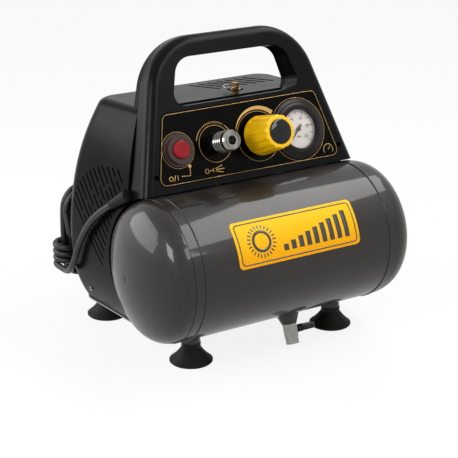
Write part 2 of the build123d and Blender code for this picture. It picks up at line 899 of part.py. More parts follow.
def air_block():
    centre = manifold_centre()
    seat = relief_base()
    arm_back = relief_y + relief_radius + 4
    arm_start = centre.Y - axis_y
    arm_low = centre.Z - axis_z - manifold_half + 2
    arm = at_axis(relief_x, arm_start, arm_low) * Box(
        2 * relief_radius + 8, arm_back - arm_start, seat - arm_low, align=(Align.CENTER, Align.MIN, Align.MIN))
    block = manifold_block() + arm
    add("manifold", block)
    out = Vector(0, centre.Y - axis_y, centre.Z - axis_z)
    riser = riser_plane()
    pipe = riser.location * Pos(0, 0, tank_radius - tank_wall) * upright(riser_radius, out.length - tank_radius)
    collar = riser.location * Pos(0, 0, tank_radius - tank_wall) * upright(riser_radius + 4, 12)
    add("tank_riser", keep_largest((pipe + collar) - tank_body(0) - block))


def roof_height(y):
    """Roof of the hood above the tank axis at a distance behind it."""
    return roof_front_z - (y - roof_front_y) * math.tan(math.radians(roof_slope))


def relief_valve():
    roof = roof_height(relief_y)
    seat = relief_base()
    place = at_axis(relief_x, relief_y, 0)
    body = Pos(0, 0, seat) * hexagon(relief_radius + 1.5, 10)
    body = body + Pos(0, 0, seat) * upright(relief_radius, roof - seat + 1)
    body = body - Pos(0, 0, seat + 14) * upright(relief_stem_radius + run_gap, far)
    add("relief_body", place * body)
    head_low = roof + 1 + slide_gap
    stem = Pos(0, 0, seat + 18) * upright(relief_stem_radius, head_low - seat - 18)
    stem = stem + Pos(0, 0, head_low) * upright(relief_head_radius, relief_head_height)
    eye = head_low + relief_head_height / 2
    stem = stem - Pos(0, 0, eye) * Rot(90, 0, 0) * Cylinder(ring_hole, far)
    add("relief_stem", place * stem)
    add("relief_ring", place * Pos(ring_shift - ring_radius, 0, eye) * Torus(ring_radius, ring_wire))


def drain():
    place = drain_plane().location
    middle = drain_boss_height + drain_body_length / 2
    body = Pos(0, 0, drain_boss_height) * hexagon(drain_body_radius, drain_body_length)
    nozzle = Pos(0, 0, drain_boss_height + drain_body_length) * upright(drain_nozzle_radius, drain_nozzle_length)
    body = body + nozzle - upright(drain_bore, far) - Pos(0, 0, middle) * Sphere(drain_ball_radius + slide_gap)
    side = Pos(0, 0, middle) * Rot(0, 90, 0)
    body = body - side * upright(drain_stem_radius + run_gap, far)
    add("drain_body", place * body)
    ball = Pos(0, 0, middle) * Sphere(drain_ball_radius) + side * upright(drain_stem_radius, drain_stem_length)
    ball = ball - upright(drain_bore, far)
    add("drain_ball", place * ball)
    reach = drain_body_radius / math.cos(math.radians(30)) + slide_gap
    hub = side * Pos(0, 0, reach) * upright(drain_stem_radius + 2, 6)
    paddle = Pos(reach + 3, 0, middle) * Box(
        lever_length, lever_width, lever_thickness, align=(Align.MIN, Align.CENTER, Align.CENTER))
    paddle = fillet(paddle.edges().filter_by(Axis.Z), 0.3 * lever_width)
    lever = hub + paddle - side * upright(drain_stem_radius + fit_gap, drain_stem_length + fit_gap)
    add("drain_lever", place * lever)


def motor():
    def turned(radius, start, length):
        return along_x(radius, start, length, motor_y, motor_z)

    stator_end = stator_start + stator_length
    bore = rotor_radius + air_gap
    add("motor_stator", turned(stator_radius, stator_start, stator_length) - turned(bore, stator_start - 1, far))
    shield_start = stator_start - shield_width
    low = hood_bottom + damper_height
    foot = Pos(shield_start, axis_y + motor_y, low) * Box(
        shield_width, 2 * damper_y + 2 * damper_radius, motor_z - low, align=(Align.MIN, Align.CENTER, Align.MIN))
    shield = turned(stator_radius, shield_start, shield_width) + foot
    add("motor_shield", shield - turned(bearing_radius + fit_gap, shield_start - 1, shield_width + 2))
    add("motor_shaft", turned(shaft_radius, shaft_start, shaft_end - shaft_start))
    rotor = turned(rotor_radius, stator_start, stator_length)
    add("motor_rotor", rotor - turned(shaft_radius + fit_gap, stator_start - 1, far))
    case_end = crank_x + case_length / 2
    right_wall = bearing_width + 2
    rings = []
    for start in (shield_start + 1, case_end - right_wall + 1):
        ring = turned(bearing_radius, start, bearing_width)
        rings.append(ring - turned(shaft_radius + run_gap, start - 1, far))
    add("shaft_bearings", Compound(children=rings))
    outer = case_inner_radius + case_wall
    case = turned(outer, stator_end, case_end - stator_end) + turned(stator_radius, stator_end, shield_width)
    pad_half = bore_radius + cylinder_wall + 3
    base = cylinder_base()
    pad = Pos(crank_x, axis_y + motor_y, motor_z) * Box(
        2 * pad_half, 2 * pad_half, base - motor_z, align=(Align.CENTER, Align.CENTER, Align.MIN))
    case_foot = Pos(crank_x, axis_y + motor_y, low) * Box(
        case_length, 2 * damper_y + 2 * damper_radius, motor_z - low, align=(Align.CENTER, Align.CENTER, Align.MIN))
    case = case + pad + case_foot
    case = case - turned(case_inner_radius, stator_end - 1, case_end - right_wall - stator_end + 1)
    case = case - turned(bearing_radius + fit_gap, case_end - right_wall - 1, far)
    case = case - Pos(crank_x, axis_y + motor_y, motor_z) * upright(bore_radius, far)
    add("crankcase", keep_largest(case))
    dampers = []
    for x in (shield_start + shield_width / 2, crank_x):
        for sign in (-1, 1):
            place = Pos(x, axis_y + motor_y + sign * damper_y, hood_bottom)
            dampers.append(place * upright(damper_radius, damper_height))
    add("rubber_dampers", Compound(children=dampers))
    hub = turned(eccentric_radius - 3, fan_x, fan_width)
    fan = hub
    for step in range(fan_blades):
        blade = Box(2, fan_width + 2, fan_radius - 6, align=(Align.CENTER, Align.CENTER, Align.MIN))
        place = Pos(fan_x + fan_width / 2, axis_y + motor_y, motor_z) * Rot(step * 360 / fan_blades, 0, 0)
        fan = fan + place * Pos(0, 0, 6) * Rot(0, 0, 55) * blade
    fan = fan & turned(fan_radius, fan_x, fan_width)
    add("cooling_fan", fan - turned(shaft_radius + fit_gap, fan_x - 1, far))
    clip_width = capacitor_radius
    cap_z = motor_z + stator_radius + capacitor_radius + 2
    cap_x = stator_start + (stator_length - capacitor_length) / 2
    can = along_x(capacitor_radius, cap_x, capacitor_length, motor_y, cap_z)
    clip = Pos(stator_start + stator_length / 2, axis_y + motor_y, cap_z - capacitor_radius)
    clip = clip * Box(clip_width, clip_width, capacitor_radius)
    clip = clip - turned(stator_radius, stator_start, stator_length)
    add("capacitor", Compound(children=[can, keep_largest(clip - can)]))


def cylinder_base():
    return motor_z + case_inner_radius + case_wall + 3


def wrist_height():
    return motor_z + crank_throw + rod_length


def crown_low():
    return wrist_height() + small_end_radius + 2 * crank_throw + slide_gap


def deck_height():
    """Top of the cylinder, just above the piston at its highest."""
    return crown_low() + crown_thickness + 1.5


def pump():
    centre = axis_y + motor_y
    across = Rot(0, 90, 0)
    pin = Pos(crank_x, centre, motor_z + crank_throw) * across
    shaft = Pos(crank_x, centre, motor_z) * across
    eccentric = pin * Cylinder(eccentric_radius, eccentric_width)
    weight = shaft * Pos(0, 0, -eccentric_width / 2 - weight_width) * upright(weight_radius, weight_width)
    weight = weight - Pos(crank_x, centre, motor_z + shaft_radius) * Box(
        far, far, far, align=(Align.CENTER, Align.CENTER, Align.MIN))
    eccentric = eccentric + weight - shaft * Cylinder(shaft_radius + fit_gap, far)
    add("eccentric", eccentric)
    wrist = wrist_height()
    rod = pin * Cylinder(big_end_radius, eccentric_width - 1)
    rod = rod + Pos(crank_x, centre, motor_z + crank_throw) * Box(
        rod_width - 2, rod_width, rod_length, align=(Align.CENTER, Align.CENTER, Align.MIN))
    rod = rod + Pos(crank_x, centre, wrist) * across * Cylinder(small_end_radius, small_end_width)
    rod = rod - pin * Cylinder(eccentric_radius + run_gap, far)
    rod = rod - Pos(crank_x, centre, wrist) * across * Cylinder(wrist_radius + fit_gap, far)
    pin = Pos(crank_x, centre, wrist) * across * Cylinder(wrist_radius, small_end_width + 10)
    add("connecting_rod", Compound(children=[rod, pin]))
    axis = Pos(crank_x, centre, 0)
    top = crown_low() + crown_thickness
    low = wrist - piston_skirt
    piston = Pos(0, 0, low) * upright(bore_radius - piston_gap, top - low)
    piston = piston - Pos(0, 0, low) * upright(bore_radius - piston_wall, crown_low() - low)
    groove_low = top - 7
    ring_inner = bore_radius - 2.5
    groove = Pos(0, 0, groove_low) * (upright(bore_radius + 1, 2.2) - upright(ring_inner, 2.2))
    add("piston", axis * (piston - groove))
    ring = upright(bore_radius - piston_gap / 2, 2) - upright(ring_inner + fit_gap, 2)
    add("piston_ring", axis * Pos(0, 0, groove_low + 0.1) * ring)
    base = cylinder_base()
    deck = deck_height()
    barrel = Pos(0, 0, base) * upright(bore_radius + cylinder_wall, deck - base)
    pitch = (deck - base - 14) / fin_count
    for fin in range(fin_count):
        barrel = barrel + Pos(0, 0, base + 4 + fin * pitch) * upright(
            bore_radius + cylinder_wall + fin_reach, fin_thickness)
    flange_height = 8
    flange = Pos(0, 0, deck - flange_height) * Box(
        2 * head_half, 2 * head_half, flange_height, align=(Align.CENTER, Align.CENTER, Align.MIN))
    barrel = barrel + flange - Pos(0, 0, base - 1) * upright(bore_radius, far)
    plate = Pos(0, 0, deck) * Box(
        2 * head_half, 2 * head_half, valve_plate_thickness, align=(Align.CENTER, Align.CENTER, Align.MIN))
    head_low = deck + valve_plate_thickness
    head = Pos(0, 0, head_low) * Box(
        2 * head_half, 2 * head_half, head_height, align=(Align.CENTER, Align.CENTER, Align.MIN))
    for groove in range(-2, 3):
        head = head - Pos(groove * 12, 0, head_low + head_height) * Box(5, far, 12)
    for sign in (-1, 1):
        plate = plate - Pos(sign * 12, 0, deck) * upright(4, valve_plate_thickness)
    bolts = []
    inset = head_half - head_bolt_inset
    for sx in (-1, 1):
        for sy in (-1, 1):
            hole = Pos(sx * inset, sy * inset, deck - flange_height) * upright(head_bolt_radius + fit_gap, far)
            barrel = barrel - hole
            plate = plate - hole
            head = head - hole
            bolt = Pos(sx * inset, sy * inset, deck - flange_height)
            bolt = bolt * upright(head_bolt_radius, flange_height + valve_plate_thickness + head_height)
            bolts.append(axis * (bolt + Pos(sx * inset, sy * inset, head_low + head_height) * hexagon(5, 4)))
    add("cylinder", axis * barrel)
    add("valve_plate", axis * plate)
    add("cylinder_head", axis * head)
    add("head_bolts", Compound(children=bolts))
    port_z = head_low + tube_radius + 3
    filter_start = crank_x - head_half - filter_length
    add("intake_filter", along_x(filter_radius, filter_start, filter_length, motor_y, head_low + head_height / 2))
    return Vector(check_x, motor_y - head_half, port_z - axis_z)


def delivery(port):
    place = check_plane()
    valve = place.location * Pos(0, 0, -3) * upright(check_radius, check_length + 3) - tank_body(0)
    add("check_valve", keep_largest(valve))
    end = place.origin + place.z_dir * check_length
    above = end + place.z_dir * delivery_rise
    start = Vector(port.X, axis_y + port.Y, axis_z + port.Z)
    path = FilletPolyline(start, start + Vector(0, -delivery_stub, 0), above, end, radius=1.6 * tube_radius)
    add("delivery_tube", tube(path, tube_radius))


def gland_body(grow):
    """Tapered strain relief, or the room for it when grown by a gap."""
    start = Pos(0, 0, -grow)
    long = gland_length + 2 * grow
    return start * Cone(
        gland_root_radius + grow, gland_tip_radius + grow, long, align=(Align.CENTER, Align.CENTER, Align.MIN))


def s_run(start, end, forward):
    """Two equal arcs that leave and arrive along one direction."""
    middle = (start + end) / 2
    chord = (middle - start).normalized()
    turned = chord * (2 * forward.dot(chord)) - forward
    return [TangentArc(start, middle, tangent=forward), TangentArc(middle, end, tangent=turned)]


def wrap_edges(left, right, radius):
    """Turns of the cord round the waist, from the entry to the turn up into the loops."""
    z = wrap_low
    entry = Vector(left - radius, 0, z)
    diagonal = radius * math.sqrt(0.5)
    edges = [
        Line(entry - Vector(0, cord_diameter, 0), entry),
        ThreePointArc(entry, (left - diagonal, diagonal, z), (left, radius, z)),
    ]
    for turn in range(wrap_count):
        rise = cord_pitch / 2
        edges += s_run(Vector(left, radius, z), Vector(right, radius, z + rise), Vector(1, 0, 0))
        z += rise
        edges.append(ThreePointArc((right, radius, z), (right + radius, 0, z), (right, -radius, z)))
        last = turn == wrap_count - 1
        stop = left + wrap_turn_up if last else left
        edges += s_run(Vector(right, -radius, z), Vector(stop, -radius, z + rise), Vector(-1, 0, 0))
        z += rise
        if not last:
            edges.append(ThreePointArc((left, -radius, z), (left - radius, 0, z), (left, radius, z)))
    corner = wrap_turn_up * (1 - math.sqrt(0.5))
    top = Vector(left, -radius, z + wrap_turn_up)
    edges.append(ThreePointArc((left + wrap_turn_up, -radius, z), (left + corner, -radius, z + corner), top))
    layer = Vector(left, -cord_pitch / 2, top.Z + shift_run)
    edges += s_run(top, layer, Vector(0, 0, 1))
    return edges, layer


def loop_edges(start):
    """Nested loops, inwards in the front layer, then outwards in the rear layer."""
    steps = (0, 1, 2, 3, 4, 3, 2, 1, 0, -1)
    edges = []
    point = start
    for index, step in enumerate(steps):
        side = -1 if index % 2 == 0 else 1
        layer = -cord_pitch / 2 if index < 5 else cord_pitch / 2
        x = side * (hank_outer - step * cord_pitch / 2)
        if index > 0:
            turn_z = hank_top if side == 1 else hank_bottom
            middle = (point.X + x) / 2
            reach = abs(x - point.X) / 2 * side
            edges.append(ThreePointArc(point, (middle, point.Y, turn_z + reach), (x, point.Y, turn_z)))
            point = Vector(x, point.Y, turn_z)
        goal_z = hank_top if side == -1 else hank_bottom
        climbing = index == 4
        if index == len(steps) - 1:
            goal_z = plug_top()
        goal = Vector(x, cord_pitch / 2 if climbing else point.Y, goal_z)
        if climbing:
            edges += s_run(point, goal, Vector(0, 0, 1))
        else:
            edges.append(Line(point, goal))
        point = goal
    return edges, point


def plug_top():
    return wrap_low - cord_diameter


def own_gap(edges):
    """Least gap between turns of the tube that lie apart along it, measured on points."""
    step = 3.0
    points = []
    travelled = 0.0
    for edge in edges:
        count = max(2, int(edge.length / step))
        for index in range(count):
            points.append((travelled + edge.length * index / count, edge @ (index / count)))
        travelled += edge.length
    least = far
    for first, (place_a, point_a) in enumerate(points):
        for place_b, point_b in points[first + 1:]:
            if place_b - place_a > 5 * cord_diameter:
                least = min(least, (point_a - point_b).length)
    return least - cord_diameter, travelled


def tube(path, radius):
    section = Plane(origin=path @ 0, z_dir=path % 0) * Circle(radius)
    return sweep(section, path=path)


def cord():
    radius = cord_diameter / 2
    add("cord_gland", gland_axis().location * gland_body(0))
    left = -hank_outer
    right = hank_outer + cord_pitch / 2
    wrap_radius = 1.5 * cord_pitch
    wraps, layer = wrap_edges(left, right, wrap_radius)
    loops, end = loop_edges(layer)
    edges = wraps + loops
    gap, length = own_gap(edges)
    print("cord hank length", round(length, 1), "least gap to itself", round(gap, 2))
    place = Pos(hank_x, axis_y + hank_y, cord_z)
    hank = tube(Wire([edge for edge in edges]), radius)
    print("hank volume over section times length", round(hank.volume / (math.pi * radius ** 2 * length), 4))
    add("cord_hank", place * hank)
    joint = Vector(hank_x + left - wrap_radius, hank_y - cord_diameter, wrap_low)
    route = [Vector(*point) for point in cord_route] + [joint]
    radii = []
    for before, point, after in zip(route, route[1:], route[2:]):
        turn = math.radians((point - before).get_angle(after - point))
        shorter = min((point - before).length, (after - point).length)
        radii.append(0.45 * shorter / math.tan(turn / 2))
    print("cord run radii", [round(value, 1) for value in radii])
    path = FilletPolyline(*route, radius=radii)
    print("cord run length", round(path.length, 1))
    run = Pos(0, axis_y, cord_z) * tube(path, radius)
    print("run volume over section times length", round(run.volume / (math.pi * radius ** 2 * path.length), 4))
    add("cord_run", run)
    hook = Pos(hank_x + cord_pitch / 4, axis_y + hood_back_mid - hood_corner, cord_z + hank_top) * Rot(-90, 0, 0)
    arm = hook * upright(peg_hook_radius, peg_reach + hood_corner)
    arm = arm + hook * Pos(0, 0, peg_reach + hood_corner - peg_lip) * upright(peg_lip_radius, peg_lip)
    add("cord_peg", keep_largest(arm - hood_loft(0)))
    top = Pos(hank_x + end.X, axis_y + hank_y + end.Y, cord_z + end.Z)
    sleeve = top * Rot(180, 0, 0) * Cone(
        radius + 1, radius + 3, plug_sleeve_length, align=(Align.CENTER, Align.CENTER, Align.MIN))
    disc = top * Pos(0, 0, 3 - plug_sleeve_length - plug_radius) * Rot(0, 90, 0)
    body = fillet(Cylinder(plug_radius, plug_thickness).edges().filter_by(GeomType.CIRCLE), 3)
    pieces = [sleeve + disc * body]
    for sign in (-1, 1):
        foot = disc * Pos(0, sign * plug_pin_spacing / 2, plug_thickness / 2)
        pin = foot * upright(plug_pin_radius, plug_pin_length)
        pieces.append(fillet(pin.edges().filter_by(GeomType.CIRCLE).sort_by(Axis.X)[-1], 1))
    add("power_plug", Compound(children=pieces))


def side_screw_places():
    """Screws through the hood's sides into the base plate's rim, Z out of the wall."""
    height = hood_bottom + side_screw_height
    probe = Pos(0, axis_y + side_screw_y, height) * Rot(0, 90, 0) * upright(screw_radius, far)
    x = (hood_loft(0) & probe).bounding_box().max.X - side_screw_sink
    spots = []
    for sign in (-1, 1):
        spots.append(Pos(sign * x, axis_y + side_screw_y, height) * Rot(0, 90 * sign, 0))
    return spots


def screw(length):
    """Cross-head screw, its head standing on the local XY plane."""
    body = upright(screw_head_radius, screw_head_height) + Pos(0, 0, -length) * upright(screw_radius, length)
    arm = 1.3 * screw_head_radius
    slot = 0.3 * screw_head_radius
    for width, depth in ((arm, slot), (slot, arm)):
        body = body - Pos(0, 0, screw_head_height) * Box(width, depth, screw_head_height)
    return body


def screws():
    sunk = Pos(0, 0, -panel_screw_sink) * screw(screw_length - panel_screw_sink)
    solids = [place * sunk for place in screw_places()]
    solids += [place * screw(screw_length) for place in side_screw_places()]
    add("shell_screws", Compound(children=solids))


def main():
    os.makedirs("parts", exist_ok=True)
    tank()
    label()
    feet_and_base()
    front_shell()
    rear_cover()
    switch()
    coupler()
    regulator()
    gauge()
    air_block()
    relief_valve()
    drain()
    motor()
    delivery(pump())
    cord()
    screws()
    for name, shape in nodes.items():
        export_step(shape, "parts/" + name + ".step")
        print(name, len(shape.solids()))


main()
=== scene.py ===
# %% [markdown]
# # A portable air compressor, dressed around its solids
# The part was modelled as solids first: a tank on rubber feet, a black hood with a carrying handle and a
# sloping panel of controls. This lesson loads those solids and gives them what solids lack: the soft
# cord, the printed panel, the dial, the label and the finishes. All sizes are real. Blender and the frame
# count in metres; what is drawn on the machine is written in mm and multiplied by MM.

# %% Load the solids as a fixed frame
import math

import bmesh
import bpy
from mathutils import Matrix, Vector


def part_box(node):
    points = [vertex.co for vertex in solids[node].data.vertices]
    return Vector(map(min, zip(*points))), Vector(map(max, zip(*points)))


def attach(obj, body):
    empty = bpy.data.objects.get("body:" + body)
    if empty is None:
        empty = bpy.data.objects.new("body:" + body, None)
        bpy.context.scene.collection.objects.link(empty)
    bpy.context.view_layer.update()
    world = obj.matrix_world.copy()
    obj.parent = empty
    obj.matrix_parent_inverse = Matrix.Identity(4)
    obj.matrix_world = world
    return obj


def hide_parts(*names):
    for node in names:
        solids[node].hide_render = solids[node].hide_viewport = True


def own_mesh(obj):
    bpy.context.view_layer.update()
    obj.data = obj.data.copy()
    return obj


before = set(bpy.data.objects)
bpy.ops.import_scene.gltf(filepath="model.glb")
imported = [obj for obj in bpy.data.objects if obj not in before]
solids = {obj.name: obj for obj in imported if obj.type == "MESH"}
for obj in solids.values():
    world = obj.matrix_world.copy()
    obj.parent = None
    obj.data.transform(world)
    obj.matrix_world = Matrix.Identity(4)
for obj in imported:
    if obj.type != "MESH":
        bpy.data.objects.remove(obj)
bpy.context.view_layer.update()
MM = 0.001

# %% [markdown]
# ## Where things are
# Two places serve the whole lesson: the axis of the tank, and the sloping face of the panel. The axis is
# read from the tank's own box. The panel leans back by 20 degrees, so a small matrix turns drawings made
# flat, with u to the right, v up the slope and w out of the face, into places on it.

# %% Tank axis and panel plane
tank_low, tank_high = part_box("tank_shell")
AXIS = (tank_low + tank_high) / 2
TANK_RADIUS = (tank_high.z - tank_low.z) / 2
PANEL_LEAN = math.radians(20)
PANEL_START = AXIS + Vector((0, 16.67, 83.1)) * MM
across = Vector((1, 0, 0))
upslope = Vector((0, math.sin(PANEL_LEAN), math.cos(PANEL_LEAN)))
outward = across.cross(upslope)
PANEL = Matrix.Translation(PANEL_START) @ Matrix((across, upslope, outward)).transposed().to_4x4()
FILM_FACE = 0.4 * MM
print("tank axis", [round(v, 4) for v in AXIS], "radius", round(TANK_RADIUS, 4))

# %% [markdown]
# ## The camera
# The photograph was taken from the front left and a little above. Its place was worked out from edges
# whose sizes are known, and is written in mm from the tank's axis. A long lens keeps the straight lines
# nearly parallel, as in the photograph.

# %% Camera
CAMERA_PLACE = (-831.0, -1227.7, 552.3)
CAMERA_AIM = (-43.6, 0, 31.7)
SENSOR_WIDTH = 36
LENS_LENGTH = 109.8
VIEW_DEPTH = 20
camera = bpy.data.objects.new("camera", bpy.data.cameras.new("camera"))
bpy.context.scene.collection.objects.link(camera)
camera.location = AXIS + Vector(CAMERA_PLACE) * MM
aim = AXIS + Vector(CAMERA_AIM) * MM
camera.rotation_euler = (aim - camera.location).to_track_quat("-Z", "Y").to_euler()
camera.data.sensor_width = SENSOR_WIDTH
camera.data.lens = LENS_LENGTH
camera.data.clip_end = VIEW_DEPTH
bpy.context.scene.camera = camera

# %% [markdown]
# ## Small helpers
# One function turns a colour as a painter writes it into the linear light values that Blender reckons in.
# One adds a node to any tree and links it. The rest put a finished mesh on a body of the machine.

# %% Helpers for colour, nodes and pieces
def colour(code):
    """Linear RGBA of an sRGB hex code."""
    parts = [int(code[i:i + 2], 16) / 255 for i in (0, 2, 4)]
    linear = [v / 12.92 if v <= 0.04045 else ((v + 0.055) / 1.055) ** 2.4 for v in parts]
    return (*linear, 1.0)


def put(tree, kind, inputs=None, **settings):
    """Add one node; an input given as a socket is linked, any other value is set."""
    made = tree.nodes.new(kind)
    for name, value in settings.items():
        setattr(made, name, value)
    for name, value in (inputs or {}).items():
        if isinstance(value, bpy.types.NodeSocket):
            tree.links.new(value, made.inputs[name])
        else:
            made.inputs[name].default_value = value
    return made


def start_material(name, **values):
    """A material with one Principled shader, whose constant values sit on its own sockets."""
    material = bpy.data.materials.new(name)
    material.use_nodes = True
    shader = material.node_tree.nodes["Principled BSDF"]
    for socket, value in values.items():
        shader.inputs[socket.replace("_", " ")].default_value = value
    return material, material.node_tree, shader


def as_piece(name, mesh, material, body="machine"):
    """Link a finished mesh as a piece that moves with one body."""
    piece = bpy.data.objects.new(name, mesh)
    bpy.context.scene.collection.objects.link(piece)
    mesh.materials.clear()
    mesh.materials.append(material)
    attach(piece, body)
    return piece


# %% [markdown]
# ## The cord
# A rubber mains lead leaves the hood through a tapered strain relief, runs back along the hood's side and
# ends in a hank on a peg behind it. The hank is loops of cord, bound by four turns round their waist. One
# NURBS line carries all of it: a few points for the free run, which the spline rounds by itself, and a
# formula for the turns. A bevel gives the line its thickness.

# %% Cord line
CORD_WIDTH = 7.5
CORD_PITCH = 8.2
HANK = (-116.5, 213.5)
HANK_TOP = 11.0
HANK_BOTTOM = -52.0
HANK_OUTER = 25.0
WRAP_TURNS = 4
WRAP_LOW = -57.0
WRAP_RADIUS = 1.5 * CORD_PITCH
# The last turn ends this many points early, where the cord turns up.
WRAP_CUT = 3
TURN_UP = 11.0
TURN_UP_BOW = 0.3 * TURN_UP
SHIFT_RUN = 22.0
PLUG_TOP = WRAP_LOW - CORD_WIDTH
FRONT_STRANDS = 5
QUARTER_STEPS = 3
# The spline cuts its corners, so the cord is a little shorter than the line through its points.
cord_route = [
    (-150.3, 74.0, 58.5),
    (-155.0, 95.0, 45.0),
    (-157.2, 121.0, 22.0),
    (-158.0, 144.0, -8.0),
    (-157.8, 158.0, -34.0),
    (-157.0, 171.5, -50.0),
    (-153.8, 188.5, -57.0),
]


def arc(centre, radius, start, end, steps):
    """Points on a part of a circle, in the plane of its two axes."""
    angles = [start + (end - start) * i / steps for i in range(steps + 1)]
    return [(centre[0] + radius * math.cos(a), centre[1] + radius * math.sin(a)) for a in angles]


def wrap_points():
    """Turns round the waist, from the left side over the back, ending at the left front."""
    left = -HANK_OUTER
    right = HANK_OUTER + CORD_PITCH / 2
    quarter = math.pi / 2
    ring = arc((left, 0), WRAP_RADIUS, 2 * quarter, quarter, QUARTER_STEPS)
    ring += arc((right, 0), WRAP_RADIUS, quarter, -quarter, 2 * QUARTER_STEPS)
    ring += arc((left, 0), WRAP_RADIUS, -quarter, -2 * quarter, QUARTER_STEPS)[:-1]
    points = []
    for turn in range(WRAP_TURNS):
        last = turn == WRAP_TURNS - 1
        for index, (x, y) in enumerate(ring):
            if last and index >= len(ring) - WRAP_CUT:
                break
            points.append((x, y, WRAP_LOW + CORD_PITCH * (turn + index / len(ring))))
    return points


def loop_points():
    """Nested loops, inwards in the front layer and outwards in the rear one."""
    steps = [*range(FRONT_STRANDS), *range(FRONT_STRANDS - 2, -2, -1)]
    points = []
    before = None
    for index, step in enumerate(steps):
        side = -1 if index % 2 == 0 else 1
        layer = -CORD_PITCH / 2 if index < FRONT_STRANDS else CORD_PITCH / 2
        x = side * (HANK_OUTER - step * CORD_PITCH / 2)
        fold = HANK_BOTTOM if side < 0 else HANK_TOP
        if before is not None:
            reach = abs(x - before) / 2
            sweep = (math.pi, 0) if side > 0 else (0, -math.pi)
            bend = arc(((before + x) / 2, fold), reach, *sweep, 2 * QUARTER_STEPS)
            points += [(a, layer, b) for a, b in bend]
        before = x
    points.append((x, layer, PLUG_TOP))
    return points


waist_top = WRAP_LOW + WRAP_TURNS * CORD_PITCH
turn_up = [
    (-HANK_OUTER + TURN_UP, -WRAP_RADIUS, waist_top),
    (-HANK_OUTER + TURN_UP_BOW, -WRAP_RADIUS, waist_top + TURN_UP_BOW),
    (-HANK_OUTER, -WRAP_RADIUS, waist_top + TURN_UP),
    (-HANK_OUTER, -(WRAP_RADIUS + CORD_PITCH / 2) / 2, waist_top + TURN_UP + SHIFT_RUN / 2),
    (-HANK_OUTER, -CORD_PITCH / 2, waist_top + TURN_UP + SHIFT_RUN),
]
hank_place = Vector((HANK[0], HANK[1], 0))
cord_line = [Vector(p) for p in cord_route]
cord_line.append(hank_place + Vector((-HANK_OUTER - WRAP_RADIUS, -CORD_WIDTH, WRAP_LOW)))
cord_line += [hank_place + Vector(p) for p in wrap_points() + turn_up + loop_points()]
cord_line = [AXIS + p * MM for p in cord_line]

# %% [markdown]
# ## The cord as a piece
# A mains lead is wires in an extruded rubber sheath, so it is one round tube along one smooth line. A
# curve with a bevel is the shortest way to that. The cord takes the place of its solids, and its plug
# stays with it.

# %% Cord piece
cord_curve = bpy.data.curves.new("cord", "CURVE")
cord_curve.dimensions = "3D"
spline = cord_curve.splines.new("NURBS")
spline.points.add(len(cord_line) - 1)
# The points carry the tube's radius and the bevel is 1, because a curve's box grows by the points' radius.
for point, place in zip(spline.points, cord_line):
    point.co = (*place, 1)
    point.radius = CORD_WIDTH / 2 * MM
spline.order_u = 3
spline.use_endpoint_u = True
spline.resolution_u = 6
cord_curve.bevel_depth = 1.0
cord_curve.bevel_resolution = 4
cord_curve.use_fill_caps = True
cord = bpy.data.objects.new("mains_cord", cord_curve)
bpy.context.scene.collection.objects.link(cord)
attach(cord, "machine")
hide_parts("cord_run", "cord_hank")

# %% [markdown]
# ## Finishes
# Every finish starts from what the real stuff is. Most of this machine is moulded ABS, so one function
# draws a moulded or cast skin: a noise of a real grain size gives both a shallow bump and a little change
# of gloss. Colours are then varied with a slower noise, because no large moulding is one flat colour.

# %% Moulded and cast skins
def skin(tree, shader, grain, depth, gloss, tones=None, patch=40.0):
    """Grain size and depth in mm, a range of roughness, and two tones that drift over patches in mm."""
    place = put(tree, "ShaderNodeTexCoord")
    fine = put(tree, "ShaderNodeTexNoise", {
        "Vector": place.outputs["Object"], "Scale": 1 / (grain * MM), "Detail": 3.0})
    slow = put(tree, "ShaderNodeTexNoise", {
        "Vector": place.outputs["Object"], "Scale": 1 / (patch * MM), "Detail": 4.0})
    sheen = put(tree, "ShaderNodeMapRange", {
        "Value": slow.outputs["Fac"], "From Min": 0.3, "From Max": 0.7,
        "To Min": gloss[0], "To Max": gloss[1]})
    tree.links.new(sheen.outputs["Result"], shader.inputs["Roughness"])
    bump = put(tree, "ShaderNodeBump", {
        "Height": fine.outputs["Fac"], "Distance": depth * MM, "Strength": 1.0})
    tree.links.new(bump.outputs["Normal"], shader.inputs["Normal"])
    if tones:
        mix = put(tree, "ShaderNodeMix", data_type="RGBA")
        tree.links.new(slow.outputs["Fac"], mix.inputs["Factor"])
        mix.inputs["A"].default_value = colour(tones[0])
        mix.inputs["B"].default_value = colour(tones[1])
        tree.links.new(mix.outputs["Result"], shader.inputs["Base Color"])
    return place, fine


def moulded(name, tones, gloss, grain=0.8, depth=0.02, patch=40.0, **values):
    """A material whose whole look is one skin."""
    material, tree, shader = start_material(name, **values)
    skin(tree, shader, grain, depth, gloss, tones, patch)
    return material


# Injection-moulded ABS, dyed right through: so deep a black that only its soft sheen shows the shape.
hood_abs = moulded(
    "moulded ABS, hood black", ("050506", "09090a"), (0.2, 0.28), grain=0.8, depth=0.012,
    Specular_IOR_Level=0.04)
# The front half of the handle and the panel's surround come from a better polished tool.
handle_abs = moulded(
    "moulded ABS, handle black", ("050506", "080809"), (0.24, 0.32), grain=0.6, depth=0.015,
    Specular_IOR_Level=0.09)
# Printed polycarbonate film: smooth, so it mirrors the room more sharply than the shell round it.
fascia_film = moulded(
    "polycarbonate film, black", ("010101", "030202"), (0.16, 0.24), grain=0.5, depth=0.006,
    Specular_IOR_Level=0.06)
# Moulded ABS with a brown cast, in rings that catch thin arcs of light.
bezel_abs = moulded(
    "moulded ABS, bezel brown-black", ("0d0808", "150d0c"), (0.25, 0.34), grain=0.5, depth=0.01,
    Specular_IOR_Level=0.2)
# Solid-coloured ABS: bright, with a broad soft highlight along each rib.
knob_abs = moulded(
    "moulded ABS, yellow", ("e8b204", "f2c20a"), (0.3, 0.42), grain=0.6, depth=0.02,
    Specular_IOR_Level=0.35)
